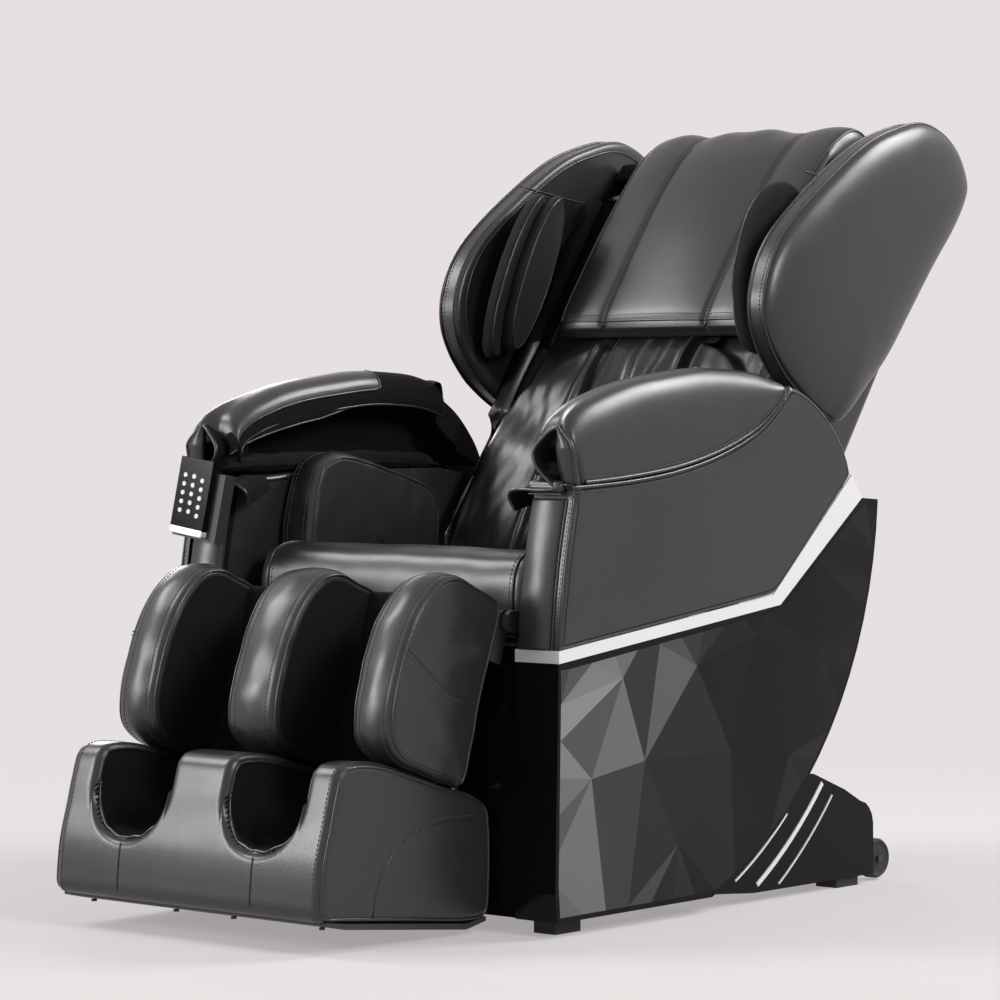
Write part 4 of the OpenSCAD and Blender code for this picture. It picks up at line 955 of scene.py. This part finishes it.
def wing(side, name):
    """Head wing: flat inside, a straight band, and a domed outer face, piped along both edges.

    Rings are the outline shrunk towards its middle. On the dome a ring stands rise sin a beyond the rim, at
    cos^0.55 a of the outline. A leather patch covers the inside above its hem, the rest of the inside is knit.
    """
    inner_x, rim_x, rise = 0.2806, 0.315, 0.0295
    c = wing_line.mean(0)
    a = np.linspace(0, math.pi / 2, 30)[1:]
    x = np.concatenate([np.full(20, inner_x), inner_x + mm([2, 5, 9]), np.linspace(inner_x + 0.009, rim_x, 8)[1:],
                        rim_x + rise * np.sin(a)])
    share = np.concatenate([np.linspace(0, 0.975, 20), [0.989, 0.997, 1.0], np.ones(7), np.cos(a) ** 0.55])
    yz = c + (wing_line - c)[None] * share[:, None, None]
    P = spots(x[:, None], yz[..., 0], yz[..., 1])
    P[..., 0] += 0.0007 * uneven(P, 0.26, 95 + side) * smooth(0.3, 0.8, np.abs(P[..., 0] - inner_x) / rise)
    rows, rim = np.arange(len(x) - 1)[:, None], len(x) - len(a) - 1

    def hem_height(y):
        """Height of the patch's hem."""
        return 0.593 + 0.515 * (y + 0.197)

    patch = P[1:, :, 2] > hem_height(P[1:, :, 1])
    shape = Shape().grid(P, np.where((rows < 19) & ~patch & (share[1:, None] < 0.95), KNIT, HIDE))

    def ring(row, out=1.003):
        """A ring a little outside the surface."""
        return np.column_stack([P[row, :, 0], c + (P[row, :, 1:] - c) * out])

    shape.tube(ring(rim), 0.0023, WELT)
    shape.tube(ring(22, 1.001), 0.0016, WELT)
    shape.stitches(ring(rim - 2, 1.002), finish=THREAD)
    shape.tube(ring(18, 1.0) - [0.0005, 0, 0], 0.0014, WELT)
    hem = np.linspace(-0.197, 0.03, 40)
    shape.tube(spots(inner_x - 0.0004, hem, hem_height(hem)), 0.0012, WELT, False)
    shape.build("wing_cover_" + name, soft_finishes, "backrest", "black_leather", ["wing_" + name], 0.8, on_back, side)


def wing_air_pads(side, name):
    """Two knit air pads inside a wing, lapped one over the other. Both lean inwards: x drops by the lean for each
    metre in front of their rear edge."""
    lean, rear = 0.36, -0.100
    t = np.linspace(0, 2 * math.pi, 160, endpoint=False)
    for i, (c, a) in enumerate((((-150, 450), (56, 136)), ((-134, 464), (52, 127)))):
        outline = mm(spots(c[0] + a[0] * np.cos(t) - 26 * np.sin(t), c[1] + a[1] * np.sin(t)))
        outer = 0.2802 - 0.025 * i
        pad = Pad(outline, outer - 0.0245, outer, 0.010, (0.004 + 0.009 * i, 0.0), band=14, face=26)
        pad.ripple(0.07, 0.0005, 101 + i)
        cord = pad.ring(pad.left_rim + 3, 0.0003)
        for P in (pad.P, cord):
            P[..., 0] += lean * (P[..., 1] - rear)
        shape = Shape().grid(pad.P, KNIT).tube(cord, 0.0013, WELT)
        shape.build(f"wing_air_pad_{name}_{i + 1}", pad_finishes, "backrest", "black_fabric", ["wing_air_pads"],
                    0.6, on_back, side)


def pillow():
    """Head pillow: a long pad that hangs over the crown, sewn into three panels."""
    front = curve(mm([[-72, 397], [-81, 412], [-84, 440], [-84, 520], [-82, 600], [-76, 680], [-64, 745],
                      [-44, 794], [-16, 818], [24, 820], [55, 808], [72, 790]]), 120, False)
    back = curve(mm([[-58, 397], [-55.5, 412], [-55.5, 600], [-55.5, 702], [-40, 714], [-22, 724], [-20.5, 760],
                     [-12, 776.5], [20, 776.5], [73, 777]]), 120, False)
    x = eased(-0.190, 0.190, 100, 0.014)
    t = np.gradient(front, axis=0)
    out = np.stack([-t[:, 1], t[:, 0]], -1) / np.linalg.norm(t, axis=1, keepdims=True)
    across = np.abs(x)
    puff = np.where(across < 0.1, 0.006 * (1 - (across / 0.1) ** 2), 0.004 * (1 - ((across - 0.145) / 0.045) ** 2))
    puff = puff - 0.0028 * bell(across - 0.1, 0.0035)
    yz = front[None] + out[None] * puff[:, None, None]
    P = slab(spots(x[:, None], yz[..., 0], yz[..., 1]), spots(x[:, None], back[:, 0], back[:, 1]))
    half = len(front)
    crease = 0.0010 * uneven(P * [1, 1, 0.6], 0.18, 111)
    P[:, :half, 1] += crease[:, :half]
    P[:, :half, 2] += (0.0035 * uneven(P * [1, 0, 0], 0.11, 113) * smooth(0.76, 0.80, P[..., 2]))[:, :half]
    shape = Shape().grid(P, HIDE)
    for edge in (-0.1, 0.1):
        row = int(np.argmin(np.abs(x - edge)))
        shape.tube(P[row, 1:half - 1], 0.0015, WELT, False)
        shape.stitches(P[row + 2, 2:half - 2] + [0, -0.0004, 0.0002], closed=False, finish=THREAD)
    bottom = P[2:-2, 3]
    shape.tube(bottom, 0.0021, WELT, False, normal=(0, 1, 0))
    shape.stitches(P[3:-3, 5] - [0, 0.0004, 0], (0, 1, 0), False, finish=THREAD)
    for row in (4, -5):
        shape.tube(P[row, 3:half - 1], 0.0021, WELT, False)
    shape.build("pillow_cover", soft_finishes, "head_pillow", "black_leather", ["head_pillow"], 0.85, on_back)


def back_shell():
    """Rear shell: a tray 3 mm thick with rounded edges, open to the front."""
    outline = rounded(mm([[-9, 91], [141, 91], [141, 640], [122, 722], [99, 757], [75, 775], [-19, 775], [-19, 640],
                          [-9, 600]]), [0.004, 0.03, 0.05, 0.03, 0.02, 0.02, 0.004, 0.01, 0.01], 340)
    pad = Pad(outline, -0.280, 0.280, 0.016, grooves=(-0.15, 0.15), depth=0.0012, width=0.003, band=90, face=8)
    P = pad.P
    middle = (P[:-1] + P[1:]) / 2
    middle = (middle + np.roll(middle, -1, 1)) / 2
    front = ((middle[..., 1] < 0.012) & (middle[..., 2] < 0.74) & (middle[..., 2] > 0.08)
             & (np.abs(middle[..., 0]) < 0.277))
    shape = Shape().grid(P, np.where(middle[..., 1] < 0.016, KNIT, HIDE), keep=~front)
    piece = shape.build("back_shell_cover", soft_finishes, "backrest", "black_leather", ["back_shell"], 0.9,
                        on_back)
    thick = piece.modifiers.new("thickness", "SOLIDIFY")
    thick.thickness = 0.003
    thick.offset = -1


# ---------------------------------------------------------------- facets of the side panels

def facet_outline(inset):
    """The side panel's outline in (y, z), drawn in by the inset."""
    a = np.radians(np.linspace(-68.5, -3.5, 40))
    arc = mm([-233, 612]) + 0.631 * spots(np.cos(a), np.sin(a))
    line = np.vstack([mm([[-346, 366], [-352, 60], [-347, 22]]), arc, mm([[351, 579], [151, 429]])])
    line = even(line, 400)
    return line + inward(line) * inset


def facet_inlay(side, name):
    """Shallow facets over the side panel: jittered points joined by a Delaunay mesh, each face tilted by the points'
    own heights and given its own tone, with a painted reflection that lightens the facets towards the front edge."""
    border = facet_outline(0.006)
    outer = border[::9]
    rng = np.random.default_rng(19)
    step = 0.165
    rows = []
    for i, z in enumerate(np.arange(0.085, 0.60, step * 0.80)):
        y = np.arange(-0.40, 0.42, step) + (step / 2 if i % 2 else 0)
        rows.append(spots(y, z))
    inner = np.vstack(rows)
    inner = inner + rng.uniform(-0.046, 0.046, inner.shape)
    limit = facet_outline(0.030)
    inner = inner[inside_of(inner, limit)]
    points = np.vstack([outer, inner])
    edges = [(i, (i + 1) % len(outer)) for i in range(len(outer))]
    found = delaunay_2d_cdt([Vector(p) for p in points], edges, [], 1, 1e-5)
    yz = np.array([tuple(p) for p in found[0]])
    faces = [f for f in found[2] if len(f) == 3]
    rim = np.min(np.linalg.norm(yz[:, None] - outer[None], axis=-1), 1) < 1e-4
    height = np.where(rim, 0.0003, rng.uniform(0.0008, 0.0030, len(yz)))
    v = np.column_stack([0.3672 + height, yz])
    lower = np.column_stack([np.full(len(yz), 0.3660), yz])
    n = len(v)
    loop = [int(i) for i in np.where(rim)[0]]
    order = sorted(loop, key=lambda i: int(np.argmin(np.linalg.norm(outer - yz[i], axis=1))))
    skirt = [(a, b, b + n, a + n) for a, b in zip(order, order[1:] + order[:1])]
    data = bpy.data.meshes.new(name)
    place = on_base if side > 0 else mirrored
    data.from_pydata([tuple(p) for p in place(np.vstack([v, lower]))], [], [tuple(f) for f in faces] + skirt)
    centre = np.array([yz[list(f)].mean(0) for f in faces])
    spread = rng.uniform(0, 1, len(faces))
    # painted reflection: near is 1 at the panel's front edge at mid height and falls to 0 over 0.42 m, lightening the
    # facets there; spread is a random tone per facet
    near = 1 - np.clip(np.hypot(centre[:, 0] + 0.36, 0.7 * (centre[:, 1] - 0.30)) / 0.42, 0, 1)
    facet_tone_and_reflection = np.clip(near ** 1.4 * (0.15 + spread) + 0.04 * spread ** 2, 0, 1)
    data.attributes.new("facet_tone_and_reflection", "FLOAT", "FACE").data.foreach_set(
        "value", np.concatenate([facet_tone_and_reflection, np.zeros(len(skirt))]).astype(np.float32))
    clean(data, True)
    data.materials.append(facets)
    piece = bpy.data.objects.new(name, data)
    bpy.context.scene.collection.objects.link(piece)
    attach(piece, "base")


def inside_of(points, outline):
    """Which points lie inside a closed outline, by counting crossings."""
    (ay, az), (by, bz) = outline.T, np.roll(outline, -1, 0).T
    y, z = points[:, 0:1], points[:, 1:2]
    crosses = ((az > z) != (bz > z)) & (y < (by - ay) * (z - az) / (bz - az + 1e-12) + ay)
    return crosses.sum(1) % 2 == 1


# ---------------------------------------------------------------- hard parts

def dress(material, *names):
    """Gives CAD nodes their material."""
    for name in names:
        data = frame["nodes"][name].data
        data.materials.clear()
        data.materials.append(material)


def dress_all():
    """Materials of every CAD node that is shown."""
    dress(gloss, "side_panel_left", "side_panel_right", "rear_cover_left", "rear_cover_right", "front_cover")
    dress(silver, "side_trims", "rear_cover_trims")
    dress(matt, "power_box", "handset_holder", "sole_screws")
    dress(gloss, "handset")
    dress(powder, "base_frame", "back_frame", "leg_frame")
    dress(steel, "massage_carriage", "kneading_shaft", "back_actuator_rod", "leg_actuator_rod")
    dress(powder, "back_actuator", "leg_actuator")
    dress(rubber, "floor_feet", "wheel_left", "wheel_right")
    dress(board, "seat_board")
    dress(nylon, "massage_arms", "sole_rollers")
    dress(switch_red, "power_switch")
    dress(key_white, *[n for n in frame["nodes"] if n.startswith("key_")])


def foot_slide():
    """Sole plate and its rods, from their own solid. The roots of the four roller lugs end level with the plate's
    underside, which falls 25 mm over the 240 mm from the toe to the heel."""
    data = frame["nodes"]["foot_slide"].data.copy()
    P = np.empty(3 * len(data.vertices), np.float32)
    data.vertices.foreach_get("co", P)
    P = P.reshape(-1, 3)
    under = 0.008 - (P[:, 1] + 0.400) * 25 / 240
    root = (np.abs(P[:, 1] + 0.542) < 0.019) & (P[:, 2] < under)
    P[:, 2] = np.where(root, under, P[:, 2])
    data.vertices.foreach_set("co", P.ravel())
    clean(data, True)
    data.materials.clear()
    data.materials.append(matt)
    data.materials.append(steel)
    z = np.array([p.center.z for p in data.polygons])
    data.polygons.foreach_set("material_index", (z > 0.062).astype(np.int32))
    data.polygons.foreach_set("use_smooth", z > 0.062)
    piece = bpy.data.objects.new("sole_and_rods", data)
    bpy.context.scene.collection.objects.link(piece)
    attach(piece, "foot_rest")
    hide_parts("foot_slide")


def handset_strip():
    """Bright strip across the foot of the handset: a rounded outline carried through its thickness, turned with it."""
    turn, tilt, origin = math.radians(8), math.radians(-6), np.array([-0.323, -0.347, 0.532])
    about_y = np.array([[math.cos(turn), 0, math.sin(turn)], [0, 1, 0], [-math.sin(turn), 0, math.cos(turn)]])
    about_x = np.array([[1, 0, 0], [0, math.cos(tilt), -math.sin(tilt)], [0, math.sin(tilt), math.cos(tilt)]])
    outline = rounded(mm([[-33.3, -4], [33.3, -4], [33.3, 6], [-33.3, 6]]), 0.0015, 60)
    pad = Pad(outline, 0.0040, 0.0250, 0.0008, band=8, face=4)
    shape = Shape().grid(np.stack([pad.P[..., 1], -pad.P[..., 0], pad.P[..., 2]], -1))
    shape.build("handset_strip", [silver], "handset", "silver_trim", place=lambda p: p @ (about_y @ about_x).T + origin)


# ---------------------------------------------------------------- studio

backdrop = (0.790, 0.750, 0.745)
floor_grey = (0.680, 0.650, 0.645)
room_light = 0.22
lamp_aim = (0, -0.05, 0.5)
camera_spot, camera_dip, camera_turn, camera_lens = (3.556, -4.152, 0.713), 1.4016, 40.864, 133.2


def studio():
    """Pale seamless room: one backdrop colour for what is seen, a lower level for what lights the chair, area lamps
    and a floor that fades into the backdrop away from the shadow."""
    world = bpy.data.worlds.new("room")
    bpy.context.scene.world = world
    world.use_nodes = True
    tree = world.node_tree
    tree.nodes.clear()
    made = {name: tree.nodes.new("ShaderNode" + kind) for name, kind in (
        ("path", "LightPath"), ("add", "Math"), ("add2", "Math"), ("seen", "Background"), ("lit", "Background"),
        ("mix", "MixShader"), ("out", "OutputWorld"))}
    for name in ("add", "add2"):
        made[name].operation = "ADD"
        made[name].use_clamp = True
    made["seen"].inputs["Color"].default_value = (*backdrop, 1)
    made["lit"].inputs["Color"].default_value = (1, 1, 1, 1)
    made["lit"].inputs["Strength"].default_value = room_light
    link = tree.links.new
    link(made["path"].outputs["Is Camera Ray"], made["add"].inputs[0])
    link(made["path"].outputs["Is Glossy Ray"], made["add"].inputs[1])
    link(made["add"].outputs[0], made["add2"].inputs[0])
    link(made["path"].outputs["Is Transmission Ray"], made["add2"].inputs[1])
    link(made["add2"].outputs[0], made["mix"].inputs["Fac"])
    link(made["lit"].outputs[0], made["mix"].inputs[1])
    link(made["seen"].outputs[0], made["mix"].inputs[2])
    link(made["mix"].outputs[0], made["out"].inputs["Surface"])

    for name, spot, size, power in (
            ("key", (-3.2, -4.4, 2.0), 2.0, 150), ("side", (2.3, 3.3, 3.9), 2.0, 180),
            ("right", (4.4, -0.5, 2.9), 1.5, 110), ("over", (-3.0, -1.8, 3.7), 1.8, 95),
            ("left", (-4.2, 2.4, 2.2), 2.0, 60)):
        lamp = bpy.data.lights.new(name, "AREA")
        lamp.shape = "DISK"
        lamp.size = size
        lamp.energy = power
        piece = bpy.data.objects.new(name, lamp)
        bpy.context.scene.collection.objects.link(piece)
        piece.location = spot
        piece.rotation_euler = (Vector(spot) - Vector(lamp_aim)).to_track_quat("Z", "Y").to_euler()

    s = Shader("floor")
    s.set(base_color=floor_grey, roughness=0.9, specular_ior_level=0.0)
    far = s.node("ShaderNodeVectorMath", {"operation": "LENGTH"}, (s.place(),), 1)
    share = s.node("ShaderNodeMapRange", {"interpolation_type": "SMOOTHSTEP"}, (far, 0.9, 2.4, 0.45, 1.0))
    glow = s.node("ShaderNodeEmission", (), {"Color": backdrop})
    mix = s.node("ShaderNodeMixShader", (), {"Fac": share})
    s.tree.links.new(s.surface.outputs[0], mix.socket.node.inputs[1])
    s.tree.links.new(glow.socket, mix.socket.node.inputs[2])
    s.tree.links.new(mix.socket, s.tree.nodes["Material Output"].inputs["Surface"])
    data = bpy.data.meshes.new("floor")
    r = 14.0
    data.from_pydata([(-r, -r, 0), (r, -r, 0), (r, r, 0), (-r, r, 0)], [], [(0, 1, 2, 3)])
    data.materials.append(s.material)
    floor = bpy.data.objects.new("floor", data)
    bpy.context.scene.collection.objects.link(floor)

    camera = bpy.data.objects.new("camera", bpy.data.cameras.new("camera"))
    camera.data.lens = camera_lens
    camera.data.sensor_width = 36
    camera.location = camera_spot
    camera.rotation_euler = (math.radians(90 - camera_dip), 0, math.radians(camera_turn))
    bpy.context.scene.collection.objects.link(camera)
    bpy.context.scene.camera = camera
    bpy.context.scene.view_settings.view_transform = "Standard"


calf_rest()
foot_box()
seat()
hip_pads()
for side, name in ((1, "left"), (-1, "right")):
    arm_cover(side, name)
    hood(side, name)
    arm_roll(side, name)
    arm_lining(side, name)
    wing(side, name)
    wing_air_pads(side, name)
    facet_inlay(side, "facets_" + name)
back_pad()
pillow()
back_shell()
foot_slide()
handset_strip()
dress_all()
studio()
